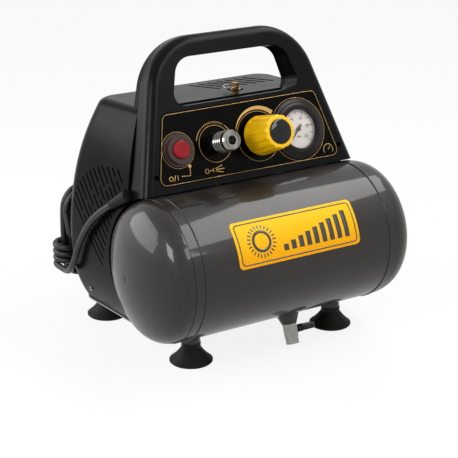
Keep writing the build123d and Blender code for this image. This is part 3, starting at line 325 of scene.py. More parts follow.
# Cast acrylic with a fire-polished face, the one true mirror on the panel.
cap_acrylic = moulded(
    "cast acrylic, black", ("040206", "070409"), (0.02, 0.04), grain=2.0, depth=0.001,
    Specular_IOR_Level=0.35)
# Dyed polycarbonate lets some light in, so its red glows at the rim.
button_red = moulded(
    "polycarbonate, red", ("840f18", "93161d"), (0.26, 0.34), Transmission_Weight=0.1,
    Specular_IOR_Level=0.15)
# Soft PVC that keeps dust from the button: cloudy brown, half clear.
collar_pvc = moulded(
    "soft PVC, smoke", ("33241f", "41302a"), (0.28, 0.38), grain=1.0, depth=0.03, Transmission_Weight=0.15,
    Specular_IOR_Level=0.25)
# Vulcanised rubber: matt, with a greenish black.
rubber = moulded(
    "moulded rubber, black", ("0c0f0c", "141813"), (0.5, 0.66), grain=0.9, depth=0.06,
    Specular_IOR_Level=0.15)
cord_rubber = moulded(
    "extruded rubber, cord black", ("0e0f10", "161718"), (0.36, 0.48), grain=0.7, depth=0.03,
    Specular_IOR_Level=0.4)
lever_nylon = moulded(
    "moulded nylon, black", ("0a0a0a", "121212"), (0.36, 0.46), grain=0.5, depth=0.02, Specular_IOR_Level=0.3)
grey_nylon = moulded("moulded nylon, grey", ("3c3c3e", "49494b"), (0.45, 0.6), grain=0.5, depth=0.02)
# Tin plate with a white stoved enamel: flat and even, so that the print can be read.
dial_card = moulded("printed tin, white", ("d2cac5", "dcd5d0"), (0.4, 0.5), grain=0.4, depth=0.004)
ink_black = moulded("printing ink, black", ("0d0d0e", "161616"), (0.35, 0.45), grain=0.4, depth=0.004)
ink_grey = moulded("printing ink, graphite", ("27231e", "36312a"), (0.3, 0.4), grain=0.4, depth=0.004)
gold_ink = moulded(
    "printing ink, gold", ("b08a48", "c79f58"), (0.3, 0.42), grain=0.5, depth=0.006, Metallic=0.3)
# Bright nickel over turned steel: a cold mirror with the fine rings of the lathe.
nickel = moulded(
    "nickel-plated steel", ("6e6d6b", "a3a29e"), (0.14, 0.24), grain=0.6, depth=0.004, patch=9, Metallic=1.0)
zinc = moulded(
    "zinc-plated steel", ("7b7b7a", "929290"), (0.28, 0.42), grain=0.4, depth=0.01, patch=8, Metallic=1.0)
brass = moulded(
    "turned brass", ("8f6a28", "ad853c"), (0.2, 0.34), grain=0.4, depth=0.008, patch=6, Metallic=1.0)
cast_alloy = moulded(
    "die-cast aluminium", ("84858a", "9b9ca1"), (0.4, 0.55), grain=0.7, depth=0.05, Metallic=1.0)
iron = moulded(
    "pressed steel laminations", ("3f3f42", "55555a"), (0.4, 0.6), grain=0.6, depth=0.03, Metallic=1.0)
copper = moulded("drawn copper", ("9a5a3a", "b56f49"), (0.25, 0.4), grain=0.5, depth=0.01, Metallic=1.0)
print("skins", len(bpy.data.materials))

# %% [markdown]
# ## Paint on the tank
# The tank is a welded steel shell in a dark grey metallic paint under clear lacquer. Metal flakes the
# size of a grain of sand sparkle where light falls straight on them. They are drawn a little coarser than
# real ones, so that they show. Each end was spun or pressed on a centre, which left a small dent in its
# middle. The dent is too shallow for a shape of its own, so it is drawn as a bump that depends on the
# distance from the tank's axis. The same distance darkens the paint in the dent to almost black, as painted
# shade.

# %% Metallic paint
FLAKE_SIZE = 0.9
FLAKE_DEPTH = 0.012
FLAKE_DARK, FLAKE_BRIGHT = 0.35, 0.72
DENT_FLOOR, DENT_RIM = 1.6, 6.0
DENT_DEPTH = 1.2
tank_paint, tree, shader = start_material(
    "metallic paint, dark grey", Metallic=0.3, Coat_Weight=0.45, Coat_Roughness=0.06,
    Specular_IOR_Level=0.15)
place, flakes = skin(tree, shader, FLAKE_SIZE, FLAKE_DEPTH, gloss=(0.36, 0.44))
flake_tone = put(tree, "ShaderNodeValToRGB", {"Fac": flakes.outputs["Fac"]})
flake_tone.color_ramp.elements[0].position = FLAKE_DARK
flake_tone.color_ramp.elements[0].color = colour("1b1918")
flake_tone.color_ramp.elements[1].position = FLAKE_BRIGHT
flake_tone.color_ramp.elements[1].color = colour("302c29")
flat = put(tree, "ShaderNodeMapping", {
    "Vector": place.outputs["Object"], "Location": (0, -AXIS.y, -AXIS.z), "Scale": (0, 1, 1)})
off_axis = put(tree, "ShaderNodeVectorMath", {0: flat.outputs["Vector"]}, operation="LENGTH")
dent = put(tree, "ShaderNodeMapRange", {
    "Value": off_axis.outputs["Value"], "From Min": DENT_FLOOR * MM, "From Max": DENT_RIM * MM},
    interpolation_type="SMOOTHSTEP")
dented = put(tree, "ShaderNodeBump", {"Height": dent.outputs["Result"], "Distance": DENT_DEPTH * MM})
tree.links.new(shader.inputs["Normal"].links[0].from_socket, dented.inputs["Normal"])
tree.links.new(dented.outputs["Normal"], shader.inputs["Normal"])
# Painted shade: towards the middle of the dent the paint turns almost black.
dent_painted_shade = put(tree, "ShaderNodeMix", {"Factor": dent.outputs["Result"]}, data_type="RGBA")
dent_painted_shade.inputs["A"].default_value = colour("0b0a0a")
tree.links.new(flake_tone.outputs["Color"], dent_painted_shade.inputs["B"])
tree.links.new(dent_painted_shade.outputs["Result"], shader.inputs["Base Color"])
print("paint flakes of", FLAKE_SIZE, "mm, dent", 2 * DENT_RIM, "mm across")

# %% [markdown]
# ## Screws and plug
# Two solids carry two finishes each. The screws in the panel are blackened, and those in the side are
# zinc-plated. The plug has bright pins. The solids could be cut up, but a mask made from a point's place
# tells their parts from each other without that.

# %% Masks by place
def side_of(tree, direction, limit, width=0.02):
    """0 below a plane and 1 above it; the plane lies at a distance in mm along a direction."""
    spot = put(tree, "ShaderNodeTexCoord")
    along = put(tree, "ShaderNodeVectorMath", {0: spot.outputs["Object"], 1: direction},
                operation="DOT_PRODUCT")
    step = put(tree, "ShaderNodeMapRange", {
        "Value": along.outputs["Value"], "From Min": (limit - width) * MM, "From Max": (limit + width) * MM})
    return step.outputs["Result"]


def two_tone(name, plane, tones, metal_above=False, **values):
    """A material whose colour changes at a plane, and that may turn to metal above it."""
    material, tree, shader = start_material(name, **values)
    mask = side_of(tree, *plane)
    paint = put(tree, "ShaderNodeMix", {"Factor": mask}, data_type="RGBA")
    paint.inputs["A"].default_value = colour(tones[0])
    paint.inputs["B"].default_value = colour(tones[1])
    tree.links.new(paint.outputs["Result"], shader.inputs["Base Color"])
    if metal_above:
        tree.links.new(mask, shader.inputs["Metallic"])
    return material


# Blackened and zinc-plated steel: the side screws lie behind the middle of the machine.
screw_steel = two_tone(
    "blackened and zinc-plated steel", ((0, 1, 0), 0.0), ("0c0b0b", "9a9a98"), Metallic=1.0, Roughness=0.32)
# Rubber plug body with nickel pins, which stand out of it to the right.
PIN_LENGTH = 19.0
PIN_ROOT_GAP = 0.3
pin_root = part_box("power_plug")[1].x / MM - PIN_LENGTH + PIN_ROOT_GAP
plug_rubber = two_tone(
    "moulded rubber with nickel pins", ((1, 0, 0), pin_root), ("0e0f10", "8c8d8f"), metal_above=True,
    Roughness=0.36)
print("pins", PIN_LENGTH, "mm long")

# %% [markdown]
# ## Clear window and label film
# The gauge has an acrylic window. The label is printed film whose yellow deepens towards its lower edge;
# the height of a point on the tank drives that change.

# %% Window and film
window_acrylic = start_material(
    "acrylic window", Transmission_Weight=1.0, IOR=1.49, Roughness=0.02, Base_Color=colour("f8fafb"),
    Alpha=0.3)[0]
label_film, tree, shader = start_material(
    "printed vinyl film, yellow", Roughness=0.4, Specular_IOR_Level=0.12)
label_low, label_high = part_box("tank_label")
place = put(tree, "ShaderNodeTexCoord")
split = put(tree, "ShaderNodeSeparateXYZ", {"Vector": place.outputs["Object"]})
height = put(tree, "ShaderNodeMapRange", {
    "Value": split.outputs["Z"], "From Min": label_low.z, "From Max": label_high.z})
blend = put(tree, "ShaderNodeValToRGB", {"Fac": height.outputs["Result"]})
blend.color_ramp.elements[0].color = colour("e59a05")
blend.color_ramp.elements[1].color = colour("eec008")
tree.links.new(blend.outputs["Color"], shader.inputs["Base Color"])
print("label from", round(label_low.z, 3), "to", round(label_high.z, 3))

# %% [markdown]
# ## A finish for every solid
# The solids come without a finish. A list pairs each finish with the solids that are made of it, and a
# last line shows whether one was left out. The parts inside the hood get theirs too, because a cover may
# be taken off.

# %% Finishes on the solids
finishes = {
    hood_abs: ["rear_cover", "cord_peg"],
    handle_abs: ["front_shell"],
    fascia_film: ["control_panel"],
    bezel_abs: ["gauge_bezel", "regulator_nut", "gauge_case"],
    knob_abs: ["regulator_knob"],
    cap_acrylic: ["knob_cap"],
    button_red: ["switch_button"],
    collar_pvc: ["button_guard"],
    rubber: ["rubber_feet", "rubber_dampers", "cord_gland"],
    plug_rubber: ["power_plug"],
    screw_steel: ["shell_screws"],
    lever_nylon: ["drain_lever"],
    grey_nylon: ["pressure_switch", "cooling_fan", "capacitor", "intake_filter", "piston_ring"],
    dial_card: ["gauge_dial"],
    ink_black: ["gauge_needle"],
    nickel: ["coupler_body", "coupler_sleeve", "relief_ring", "drain_body"],
    zinc: ["motor_shaft", "shaft_bearings", "head_bolts", "button_spring", "valve_plate", "base_plate"],
    brass: ["relief_body", "relief_stem", "drain_ball", "check_valve", "tank_riser", "regulator_body"],
    cast_alloy: [
        "manifold", "motor_shield", "crankcase", "connecting_rod", "piston", "cylinder", "cylinder_head"],
    iron: ["motor_stator", "motor_rotor", "eccentric"],
    copper: ["delivery_tube"],
    tank_paint: ["tank_shell", "tank_head_left", "tank_head_right", "drain_boss", "foot_pegs"],
    window_acrylic: ["gauge_lens"],
    label_film: ["tank_label"],
}
for finish, names in finishes.items():
    for name in names:
        solid = solids[name]
        solid.data.materials.clear()
        solid.data.materials.append(finish)
cord_curve.materials.append(cord_rubber)
unfinished = set(solids) - {n for names in finishes.values() for n in names} - {"cord_run", "cord_hank"}
print("finishes", len(finishes), "solids without one", sorted(unfinished))

# %% [markdown]
# ## Lines printed on the panel
# The film carries thin gold lines: a frame, a ring round each control and a few signs. Each line
# is a path drawn flat, and a small Geometry Nodes tree turns any path into a thin ribbon of a given
# width. Printing could be a texture, but ribbons stay sharp at any distance and are part of the mesh.

# %% A tree that makes ribbons from paths
def ribbon_tree():
    """Paths, a width and a height go in; flat bars along the paths come out."""
    tree = bpy.data.node_groups.new("printed ribbon", "GeometryNodeTree")
    tree.interface.new_socket("Paths", in_out="INPUT", socket_type="NodeSocketGeometry")
    for name in ("Width", "Height"):
        tree.interface.new_socket(name, in_out="INPUT", socket_type="NodeSocketFloat")
    tree.interface.new_socket("Ink", in_out="INPUT", socket_type="NodeSocketMaterial")
    tree.interface.new_socket("Ribbons", in_out="OUTPUT", socket_type="NodeSocketGeometry")
    given = put(tree, "NodeGroupInput")
    line = put(tree, "GeometryNodeMeshToCurve", {"Mesh": given.outputs["Paths"]})
    level = put(tree, "GeometryNodeSetCurveNormal", {"Curve": line.outputs["Curve"]}, mode="Z_UP")
    section = put(tree, "GeometryNodeCurvePrimitiveQuadrilateral", {
        "Width": given.outputs["Width"], "Height": given.outputs["Height"]})
    ribbon = put(tree, "GeometryNodeCurveToMesh", {
        "Curve": level.outputs["Curve"], "Profile Curve": section.outputs["Curve"], "Fill Caps": True})
    real = put(tree, "GeometryNodeRealizeInstances", {"Geometry": ribbon.outputs["Mesh"]})
    inked = put(tree, "GeometryNodeSetMaterial", {
        "Geometry": real.outputs["Geometry"], "Material": given.outputs["Ink"]})
    put(tree, "NodeGroupOutput", {"Ribbons": inked.outputs["Geometry"]})
    return tree


def run_tree(tree, mesh, values):
    """Evaluate a tree on a mesh and return the result as a plain mesh."""
    holder = bpy.data.objects.new("holder", mesh)
    bpy.context.scene.collection.objects.link(holder)
    modifier = holder.modifiers.new("nodes", "NODES")
    modifier.node_group = tree
    keys = {item.name: item.identifier for item in tree.interface.items_tree if item.in_out == "INPUT"}
    for name, value in values.items():
        modifier[keys[name]] = value
    bpy.context.view_layer.update()
    seen = holder.evaluated_get(bpy.context.evaluated_depsgraph_get())
    made = bpy.data.meshes.new_from_object(seen)
    holder.modifiers.clear()
    bpy.data.objects.remove(holder)
    return made


def path_mesh(paths):
    """Edges along each path, given in mm as points and whether it closes."""
    mesh = bpy.data.meshes.new("paths")
    points = []
    edges = []
    for path, closed in paths:
        first = len(points)
        points += [(p[0] * MM, p[1] * MM, 0) for p in path]
        edges += [(first + i, first + i + 1) for i in range(len(path) - 1)]
        if closed:
            edges.append((len(points) - 1, first))
    mesh.from_pydata(points, edges, [])
    return mesh


ribbons = ribbon_tree()
PRINT_HEIGHT = 0.08


def ribbon_mesh(paths, width, ink):
    """Paths in mm as one flat mesh of ribbons."""
    return run_tree(ribbons, path_mesh(paths), {
        "Width": width * MM, "Height": PRINT_HEIGHT * MM, "Ink": ink})


def print_lines(name, paths, width, ink, place):
    """Ribbons as a piece of their own."""
    mesh = ribbon_mesh(paths, width, ink)
    mesh.transform(place)
    as_piece(name, mesh, ink)


# %% [markdown]
# ## Frame and rings on the panel
# The frame follows the edge of the film, and a ring marks the place of each control. Both are closed
# paths, so two small functions are enough: one rounds the corners of a polygon, one gives a circle.

# %% Paths on the panel
def rounded(corners, radius, steps=6):
    """A closed path with its corners rounded."""
    path = []
    count = len(corners)
    for i, corner in enumerate(corners):
        here = Vector(corner)
        before = (Vector(corners[i - 1]) - here).normalized()
        after = (Vector(corners[(i + 1) % count]) - here).normalized()
        half = math.acos(max(-1, min(1, before.dot(after)))) / 2
        reach = radius / math.tan(half)
        start, end = here + before * reach, here + after * reach
        centre = here + (before + after).normalized() * radius / math.sin(half)
        first = math.atan2(*(start - centre).yx)
        turn = math.atan2(*(end - centre).yx) - first
        turn = (turn + math.pi) % (2 * math.pi) - math.pi
        path += [tuple(p) for p in arc(centre, radius, first, first + turn, steps)]
    return path


def circle(centre, radius, steps=64):
    """A closed path round a centre."""
    return arc(centre, radius, 0, 2 * math.pi, steps)[:-1]


CONTROL_V = 41.5
BUTTON_U, COUPLER_U, REGULATOR_U, GAUGE_U = -90.0, -42.0, 15.5, 69.8
FRAME_CORNER = 7
FRAME_LINE = 0.45
RING_LINE = 0.42
frame_corners = ((-119.4, 5.6), (120.2, 4.8), (100.8, 82.6), (-100.8, 81.4))
control_rings = ((BUTTON_U, 20.0), (COUPLER_U, 20.6), (REGULATOR_U, 28.2), (GAUGE_U, 36.2))
print_place = PANEL @ Matrix.Translation((0, 0, FILM_FACE + PRINT_HEIGHT / 2 * MM))
frame_path = (rounded(frame_corners, FRAME_CORNER), True)
ring_paths = [(circle((u, CONTROL_V), radius), True) for u, radius in control_rings]
print_lines("panel_frame_print", [frame_path], FRAME_LINE, gold_ink, print_place)
print_lines("panel_ring_print", ring_paths, RING_LINE, gold_ink, print_place)
print("rings", len(ring_paths))

# %% [markdown]
# ## Signs on the panel
# Signs tell what each control does without words: a circle and a stroke for off and on, a jet of air
# under the outlet, a small dial under the gauge. A swelling arc over the knob shows which way the
# pressure grows.

# %% Signs
def filled(outline):
    """A flat plate from a closed outline in mm."""
    made = bmesh.new()
    corners = [made.verts.new((x * MM, y * MM, -PRINT_HEIGHT / 2 * MM)) for x, y in outline]
    face = made.faces.new(corners)
    lifted = bmesh.ops.extrude_face_region(made, geom=[face])
    tops = [g for g in lifted["geom"] if isinstance(g, bmesh.types.BMVert)]
    bmesh.ops.translate(made, vec=(0, 0, PRINT_HEIGHT * MM), verts=tops)
    bmesh.ops.recalc_face_normals(made, faces=made.faces)
    mesh = bpy.data.meshes.new("plate")
    made.to_mesh(mesh)
    made.free()
    return mesh


def joined(meshes):
    """One mesh out of several."""
    made = bmesh.new()
    for mesh in meshes:
        made.from_mesh(mesh)
    mesh = bpy.data.meshes.new("joined")
    made.to_mesh(mesh)
    made.free()
    return mesh


def degrees(*angles):
    """Angles in degrees as radians."""
    return [math.radians(angle) for angle in angles]


def by_knob(radius, angle):
    """A place on the panel, from the middle of the knob."""
    return (REGULATOR_U + radius * math.cos(angle), CONTROL_V + radius * math.sin(angle))


SIGN_LINE = 0.75
SIGN_STEPS = 32
LEADER_DOT, LEADER_DOT_RADIUS = (-79.1, 22.4), 2.0
OUTLET_ARC = 24.0
JET_V = 13.2
DIAL_SIGN = (106.2, 12.4)
# The arc over the knob starts as a hair line on the left and ends blunt on the right.
SWELL_START, SWELL_TURN = 158, 112
SWELL_STEPS = 40
SWELL_IN, SWELL_IN_GROWTH = 30.0, 0.6
SWELL_OUT, SWELL_OUT_GROWTH = 30.4, 5.2
SWELL_BULGE = 0.8
swell_out = []
swell_in = []
for step in range(SWELL_STEPS + 1):
    share = step / SWELL_STEPS
    angle = math.radians(SWELL_START - SWELL_TURN * share)
    swell_out.append(by_knob(SWELL_OUT + SWELL_OUT_GROWTH * share ** SWELL_BULGE, angle))
    swell_in.append(by_knob(SWELL_IN + SWELL_IN_GROWTH * share, angle))
swell = filled(swell_out + swell_in[::-1])
leader_dot = filled(circle(LEADER_DOT, LEADER_DOT_RADIUS, SIGN_STEPS))
flat_signs = joined([swell, leader_dot])
flat_signs.transform(print_place)
as_piece("panel_solid_print", flat_signs, gold_ink)

# Off and on, with a line that leads to them from the button.
power_sign = [
    ([(-79.1, 20.6), (-80.2, 11.9), (-91.4, 12.8)], False),
    (circle((-104.6, 12.0), 2.3, SIGN_STEPS), True),
    ([(-101.2, 8.8), (-98.6, 15.2)], False),
    ([(-96.0, 9.3), (-96.0, 14.7)], False),
]
# A nozzle and the air that leaves it.
jet_sign = [
    (circle((-58.6, JET_V), 2.4, SIGN_STEPS), True),
    ([(-56.2, JET_V), (-50.4, JET_V)], False),
    ([(-50.4, 11.0), (-50.4, 15.4)], False),
    ([(-47.0, JET_V), (-36.4, JET_V)], False),
    ([(-47.4, 14.6), (-38.4, 17.2)], False),
    ([(-47.4, 11.8), (-38.4, 9.2)], False),
]
# A dial with its needle.
dial_sign = [
    (arc(DIAL_SIGN, 6.4, *degrees(-30, 210), steps=28), False),
    ([DIAL_SIGN, (109.6, 16.2)], False),
]
outlet_arcs = [
    (arc((COUPLER_U, CONTROL_V), OUTLET_ARC, *degrees(164, 128), steps=16), False),
    (arc((COUPLER_U, CONTROL_V), OUTLET_ARC, *degrees(52, 24), steps=16), False),
]
sign_paths = power_sign + jet_sign + dial_sign + outlet_arcs
print_lines("panel_sign_print", sign_paths, SIGN_LINE, gold_ink, print_place)

# %% [markdown]
# ## Ticks round a circle
# A second Geometry Nodes tree sets small bars on an arc, each turned outwards. It draws the marks between
# the arcs over the outlet, the scale of the gauge and a wheel of rays on the label. On the real dial they
# are screen-printed; here each one is a real thin bar.

# %% A tree that sets ticks on an arc
def tick_tree():
    """An arc and the size of a bar go in; bars that point outwards along the arc come out."""
    tree = bpy.data.node_groups.new("ticks on an arc", "GeometryNodeTree")
    tree.interface.new_socket("Base", in_out="INPUT", socket_type="NodeSocketGeometry")
    tree.interface.new_socket("Count", in_out="INPUT", socket_type="NodeSocketInt")
    for name in ("Radius", "Start", "Sweep", "Length", "Width", "Height"):
        tree.interface.new_socket(name, in_out="INPUT", socket_type="NodeSocketFloat")
    tree.interface.new_socket("Ink", in_out="INPUT", socket_type="NodeSocketMaterial")
    tree.interface.new_socket("Ticks", in_out="OUTPUT", socket_type="NodeSocketGeometry")
    given = put(tree, "NodeGroupInput")
    path = put(tree, "GeometryNodeCurveArc", {
        "Resolution": given.outputs["Count"], "Radius": given.outputs["Radius"],
        "Start Angle": given.outputs["Start"], "Sweep Angle": given.outputs["Sweep"]})
    points = put(tree, "GeometryNodeCurveToPoints", {"Curve": path.outputs["Curve"]}, mode="EVALUATED")
    place = put(tree, "GeometryNodeInputPosition")
    turn = put(tree, "FunctionNodeAlignRotationToVector", {"Vector": place.outputs["Position"]},
               axis="X", pivot_axis="Z")
    size = put(tree, "ShaderNodeCombineXYZ", {
        "X": given.outputs["Length"], "Y": given.outputs["Width"], "Z": given.outputs["Height"]})
    bar = put(tree, "GeometryNodeMeshCube", {"Size": size.outputs["Vector"]})
    ticks = put(tree, "GeometryNodeInstanceOnPoints", {
        "Points": points.outputs["Points"], "Instance": bar.outputs["Mesh"],
        "Rotation": turn.outputs["Rotation"]})
    real = put(tree, "GeometryNodeRealizeInstances", {"Geometry": ticks.outputs["Instances"]})
    inked = put(tree, "GeometryNodeSetMaterial", {
        "Geometry": real.outputs["Geometry"], "Material": given.outputs["Ink"]})
    put(tree, "NodeGroupOutput", {"Ticks": inked.outputs["Geometry"]})
    return tree


ticks = tick_tree()


def tick_mesh(count, radius, start, sweep, length, width, ink):
    """Ticks round the origin, in mm and degrees."""
    return run_tree(ticks, bpy.data.meshes.new("base"), {
        "Count": count, "Radius": radius * MM, "Start": math.radians(start), "Sweep": math.radians(sweep),
        "Length": length * MM, "Width": width * MM, "Height": PRINT_HEIGHT * MM, "Ink": ink})


outlet_marks = tick_mesh(
    count=12, radius=OUTLET_ARC, start=122, sweep=-64, length=2.2, width=0.6, ink=gold_ink)
outlet_marks.transform(print_place @ Matrix.Translation((COUPLER_U * MM, CONTROL_V * MM, 0)))
as_piece("panel_tick_print", outlet_marks, gold_ink)

# %% [markdown]
# ## The dial
# The gauge reads from 0 to 10 bar over three quarters of a turn. Long ticks stand at every bar and short
# ones at every fifth of a bar. A red stroke marks the working pressure of 8 bar.

# %% Dial print
DIAL_TOP = 0.2
DIAL_START = 225
DIAL_SWEEP = -270
BARS = 10
TICKS_PER_BAR = 5
WORKING_PRESSURE = 8
FIGURE_RADIUS = 13.6
FIGURE_SIZE = 5.8
UNIT_SIZE = 3.6
UNIT_DROP = 8.5
INK_SPREAD = 0.14
dial_place = PANEL @ Matrix.Translation((GAUGE_U * MM, CONTROL_V * MM, (DIAL_TOP + PRINT_HEIGHT / 2) * MM))


def words(text, size):
    """A line of text as a thin plate, centred on the origin."""
    made = bpy.data.curves.new("text", "FONT")
    made.body = text
    made.size = size * MM
    made.align_x = "CENTER"
    made.align_y = "CENTER"
    made.extrude = PRINT_HEIGHT / 2 * MM
    made.offset = INK_SPREAD * MM
    made.resolution_u = 3
    holder = bpy.data.objects.new("text", made)
    bpy.context.scene.collection.objects.link(holder)
    bpy.context.view_layer.update()
    mesh = bpy.data.meshes.new_from_object(holder.evaluated_get(bpy.context.evaluated_depsgraph_get()))
    bpy.data.objects.remove(holder)
    return mesh


long_ticks = tick_mesh(
    BARS + 1, radius=19.4, start=DIAL_START, sweep=DIAL_SWEEP, length=4.0, width=0.9, ink=ink_black)
short_ticks = tick_mesh(
    TICKS_PER_BAR * BARS + 1, radius=20.4, start=DIAL_START, sweep=DIAL_SWEEP, length=2.0, width=0.45,
    ink=ink_black)
figures = []
for bar in range(0, BARS + 1, 2):
    angle = math.radians(DIAL_START + DIAL_SWEEP * bar / BARS)
    figure = words(str(bar), FIGURE_SIZE)
    spot = Vector((math.cos(angle), math.sin(angle), 0)) * FIGURE_RADIUS * MM
    figure.transform(Matrix.Translation(spot))
    figures.append(figure)
unit = words("bar", UNIT_SIZE)
unit.transform(Matrix.Translation((0, -UNIT_DROP * MM, 0)))
dial_mesh = joined([long_ticks, short_ticks, unit] + figures)
dial_mesh.transform(dial_place)
as_piece("dial_print", dial_mesh, ink_black)
limit_angle = DIAL_START + DIAL_SWEEP * WORKING_PRESSURE / BARS
limit_mark = tick_mesh(
    count=2, radius=19.2, start=limit_angle, sweep=-1.2, length=4.4, width=0.7, ink=button_red)
limit_mark.transform(dial_place)
as_piece("dial_limit_print", limit_mark, button_red)
print("dial ticks", BARS + 1, TICKS_PER_BAR * BARS + 1)

# %% [markdown]
# ## The label on the tank
# The film carries a plain sign for air under pressure: a wheel of rays, and bars that rise beside it, in
# a thin frame. The drawing is made flat first. Then every point is rolled on to the tank, with the height
# of the drawing turned into an angle.

# %% Label print
LABEL_HALF = 79.5
LABEL_LOW, LABEL_HIGH = 11.0, 48.0
LABEL_LIFT = 0.42
LABEL_TOP = TANK_RADIUS / MM + LABEL_LIFT
LABEL_RISE = math.radians(LABEL_HIGH - LABEL_LOW) / 2 * LABEL_TOP
BORDER_X, BORDER_Y = LABEL_HALF - 4.0, LABEL_RISE - 3.6
BORDER_CORNER = 4.0
BORDER_LINE = 1.4
WHEEL_X = -47.0
WHEEL_RADIUS = 10.5
WHEEL_LINE = 3.2
BAR_COUNT = 9
BAR_START, BAR_PITCH = -18.0, 10.2
BAR_FOOT = -15.5
BAR_TOP, BAR_RISE = -8.5, 2.9
BAR_WIDTH = 6.2


def rolled(mesh):
    """Roll a flat drawing, in metres about the label's middle, on to the tank."""
    middle = math.radians((LABEL_LOW + LABEL_HIGH) / 2)
    for vertex in mesh.vertices:
        x, y, z = vertex.co
        angle = middle + y / (LABEL_TOP * MM)
        radius = LABEL_TOP * MM + z
        vertex.co = AXIS + Vector((x, -radius * math.cos(angle), radius * math.sin(angle)))
    mesh.update()
    return mesh


def fine_line(points, step=2.0):
    """Points along straight runs, close enough together to bend with the tank."""
    path = []
    for (x0, y0), (x1, y1) in zip(points, points[1:]):
        count = max(1, round(math.hypot(x1 - x0, y1 - y0) / step))
        path += [(x0 + (x1 - x0) * i / count, y0 + (y1 - y0) * i / count) for i in range(count)]
    return path + [points[-1]]


border_corners = (
    (-BORDER_X, -BORDER_Y), (BORDER_X, -BORDER_Y), (BORDER_X, BORDER_Y), (-BORDER_X, BORDER_Y))
border = rounded(border_corners, BORDER_CORNER)
border = fine_line(border + border[:1])[:-1]
border_mesh = ribbon_mesh([(border, True)], BORDER_LINE, ink_grey)
wheel = ribbon_mesh([(circle((WHEEL_X, 0), WHEEL_RADIUS), True)], WHEEL_LINE, ink_grey)
rays = tick_mesh(count=25, radius=16.0, start=0, sweep=360, length=4.4, width=1.5, ink=ink_grey)
rays.transform(Matrix.Translation((WHEEL_X * MM, 0, 0)))
bars = []
for step in range(BAR_COUNT):
    x = BAR_START + BAR_PITCH * step
    bars.append((fine_line([(x, BAR_FOOT), (x, BAR_TOP + BAR_RISE * step)]), False))
bar_mesh = ribbon_mesh(bars, BAR_WIDTH, ink_grey)
label_print = rolled(joined([border_mesh, wheel, rays, bar_mesh]))
as_piece("label_print", label_print, ink_grey)
print("label bars", len(bars))

# %% [markdown]
# ## Cap of the knob
# A glossy black cap closes the front of the knob. It is a shallow dome, and a dome is a profile turned
# round an axis, so the mesh is built ring by ring. Its mirror shows the lamps as bright spots, as a real
# one does.

# %% Cap dome
CAP_RADIUS = 14.0
CAP_LOW = 46.0
CAP_HEIGHT = 2.6
CAP_SIDES = 64
CAP_RIM = 0.5
CAP_STEP, CAP_END = 6, 84
cap_profile = [(CAP_RADIUS, 0.0), (CAP_RADIUS, CAP_RIM)]
for turn in degrees(*range(CAP_STEP, CAP_END, CAP_STEP)):
    cap_profile.append((CAP_RADIUS * math.cos(turn), CAP_RIM + (CAP_HEIGHT - CAP_RIM) * math.sin(turn)))
made = bmesh.new()
rings = []
for radius, height in cap_profile:
    ring = circle((0, 0), radius, CAP_SIDES)
    rings.append([made.verts.new((x * MM, y * MM, height * MM)) for x, y in ring])
for low, high in zip(rings, rings[1:]):
    for i in range(CAP_SIDES):
        j = (i + 1) % CAP_SIDES
        made.faces.new((low[i], low[j], high[j], high[i]))
made.faces.new(rings[0][::-1])
crown = made.verts.new((0, 0, CAP_HEIGHT * MM))
for i in range(CAP_SIDES):
    made.faces.new((rings[-1][i], rings[-1][(i + 1) % CAP_SIDES], crown))
bmesh.ops.recalc_face_normals(made, faces=made.faces)
# Only the base, the one face with many corners, stays flat.
for face in made.faces:
    face.smooth = len(face.verts) <= 4
cap_mesh = bpy.data.meshes.new("cap")
made.to_mesh(cap_mesh)
made.free()
cap_mesh.transform(PANEL @ Matrix.Translation(Vector((REGULATOR_U, CONTROL_V, CAP_LOW)) * MM))
cap = as_piece("knob_cap_dome", cap_mesh, cap_acrylic, "regulator_knob")
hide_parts("knob_cap")
print("cap faces", len(cap_mesh.polygons))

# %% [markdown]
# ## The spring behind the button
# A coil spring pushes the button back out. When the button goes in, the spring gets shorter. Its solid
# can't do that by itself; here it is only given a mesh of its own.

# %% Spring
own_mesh(solids["button_spring"])

# %% [markdown]
# ## Floor, light and surroundings
# A product picture is taken on a white sweep under large soft lamps. Four lamps, above, at the left behind
# the machine, at the left of the camera and in front, draw the broad soft bands and patches that show the
# curve of the hood and of the tank. They stay at a plain level, where a colour looks about as it was
# written. The white of the sweep and the room is not more light: it is seen by the camera, in mirrors and
# through glass, and it doesn't fall on the machine.

# %% Floor, lamps and world
FLOOR_HALF = 3
FLOOR_WHITE = 0.86
ROOM_LIGHT = 0.35
LAMP_AIM = AXIS + Vector((0, 0, 60)) * MM
scene = bpy.context.scene
scene.view_settings.view_transform = "Standard"


def looked_at(tree):
    """1 where the camera, a mirror or a pane looks at a thing, 0 where it only gives light."""
    ray = put(tree, "ShaderNodeLightPath")
    mirrored = put(tree, "ShaderNodeMath", {
        0: ray.outputs["Is Camera Ray"], 1: ray.outputs["Is Glossy Ray"]}, operation="MAXIMUM")
    through = put(tree, "ShaderNodeMath", {
        0: mirrored.outputs["Value"], 1: ray.outputs["Is Transmission Ray"]}, operation="MAXIMUM")
    return through.outputs["Value"]


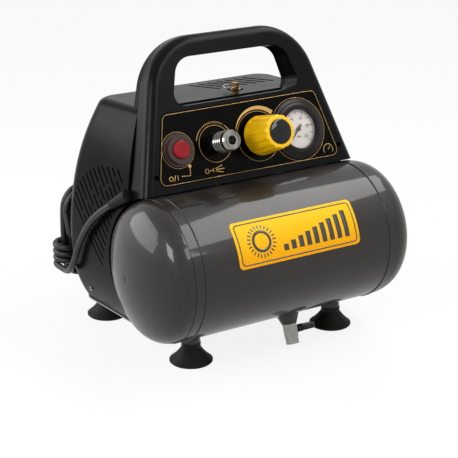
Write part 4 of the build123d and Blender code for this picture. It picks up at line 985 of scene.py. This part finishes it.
floor_mesh = bpy.data.meshes.new("floor")
floor_corners = [(x * FLOOR_HALF, y * FLOOR_HALF, 0) for x, y in ((-1, -1), (1, -1), (1, 1), (-1, 1))]
floor_mesh.from_pydata(floor_corners, [], [(0, 1, 2, 3)])
floor = bpy.data.objects.new("floor", floor_mesh)
scene.collection.objects.link(floor)
floor_sheet, tree, shader = start_material(
    "white laminate, floor", Base_Color=colour("f4f4f3"), Roughness=0.3)
share = put(tree, "ShaderNodeMath", {0: looked_at(tree), 1: FLOOR_WHITE}, operation="MULTIPLY")
plain_white = put(tree, "ShaderNodeEmission", {"Color": colour("ffffff"), "Strength": 1.0})
sweep = put(tree, "ShaderNodeMixShader", {
    "Fac": share.outputs["Value"], 1: shader.outputs["BSDF"], 2: plain_white.outputs["Emission"]})
tree.links.new(sweep.outputs["Shader"], tree.nodes["Material Output"].inputs["Surface"])
floor_mesh.materials.append(floor_sheet)


def lamp(name, place, size, power):
    """A soft rectangular lamp that looks at the machine; places and sizes in m, power in W."""
    light = bpy.data.lights.new(name, "AREA")
    light.shape = "RECTANGLE"
    light.size, light.size_y = size
    light.energy = power
    holder = bpy.data.objects.new(name, light)
    holder.location = place
    holder.rotation_euler = (LAMP_AIM - Vector(place)).to_track_quat("-Z", "Y").to_euler()
    scene.collection.objects.link(holder)


lamp("lamp above", place=(0.7, -0.36, 1.3), size=(1.4, 0.5), power=14)
lamp("lamp left", place=(-1.0, 0.75, 0.62), size=(1.1, 0.75), power=11)
lamp("lamp beside", place=(-1.2, -0.5, 0.8), size=(0.45, 0.45), power=8)
lamp("lamp front", place=(0.4, -1.4, 1.25), size=(0.7, 0.5), power=7)

world = bpy.data.worlds.new("white room")
scene.world = world
world.use_nodes = True
tree = world.node_tree
tree.nodes.clear()
room = put(tree, "ShaderNodeBackground", {"Color": colour("f4f4f4"), "Strength": ROOM_LIGHT})
white = put(tree, "ShaderNodeBackground", {"Color": colour("ffffff"), "Strength": 1.0})
choice = put(tree, "ShaderNodeMixShader", {
    "Fac": looked_at(tree), 1: room.outputs["Background"], 2: white.outputs["Background"]})
put(tree, "ShaderNodeOutputWorld", {"Surface": choice.outputs["Shader"]})
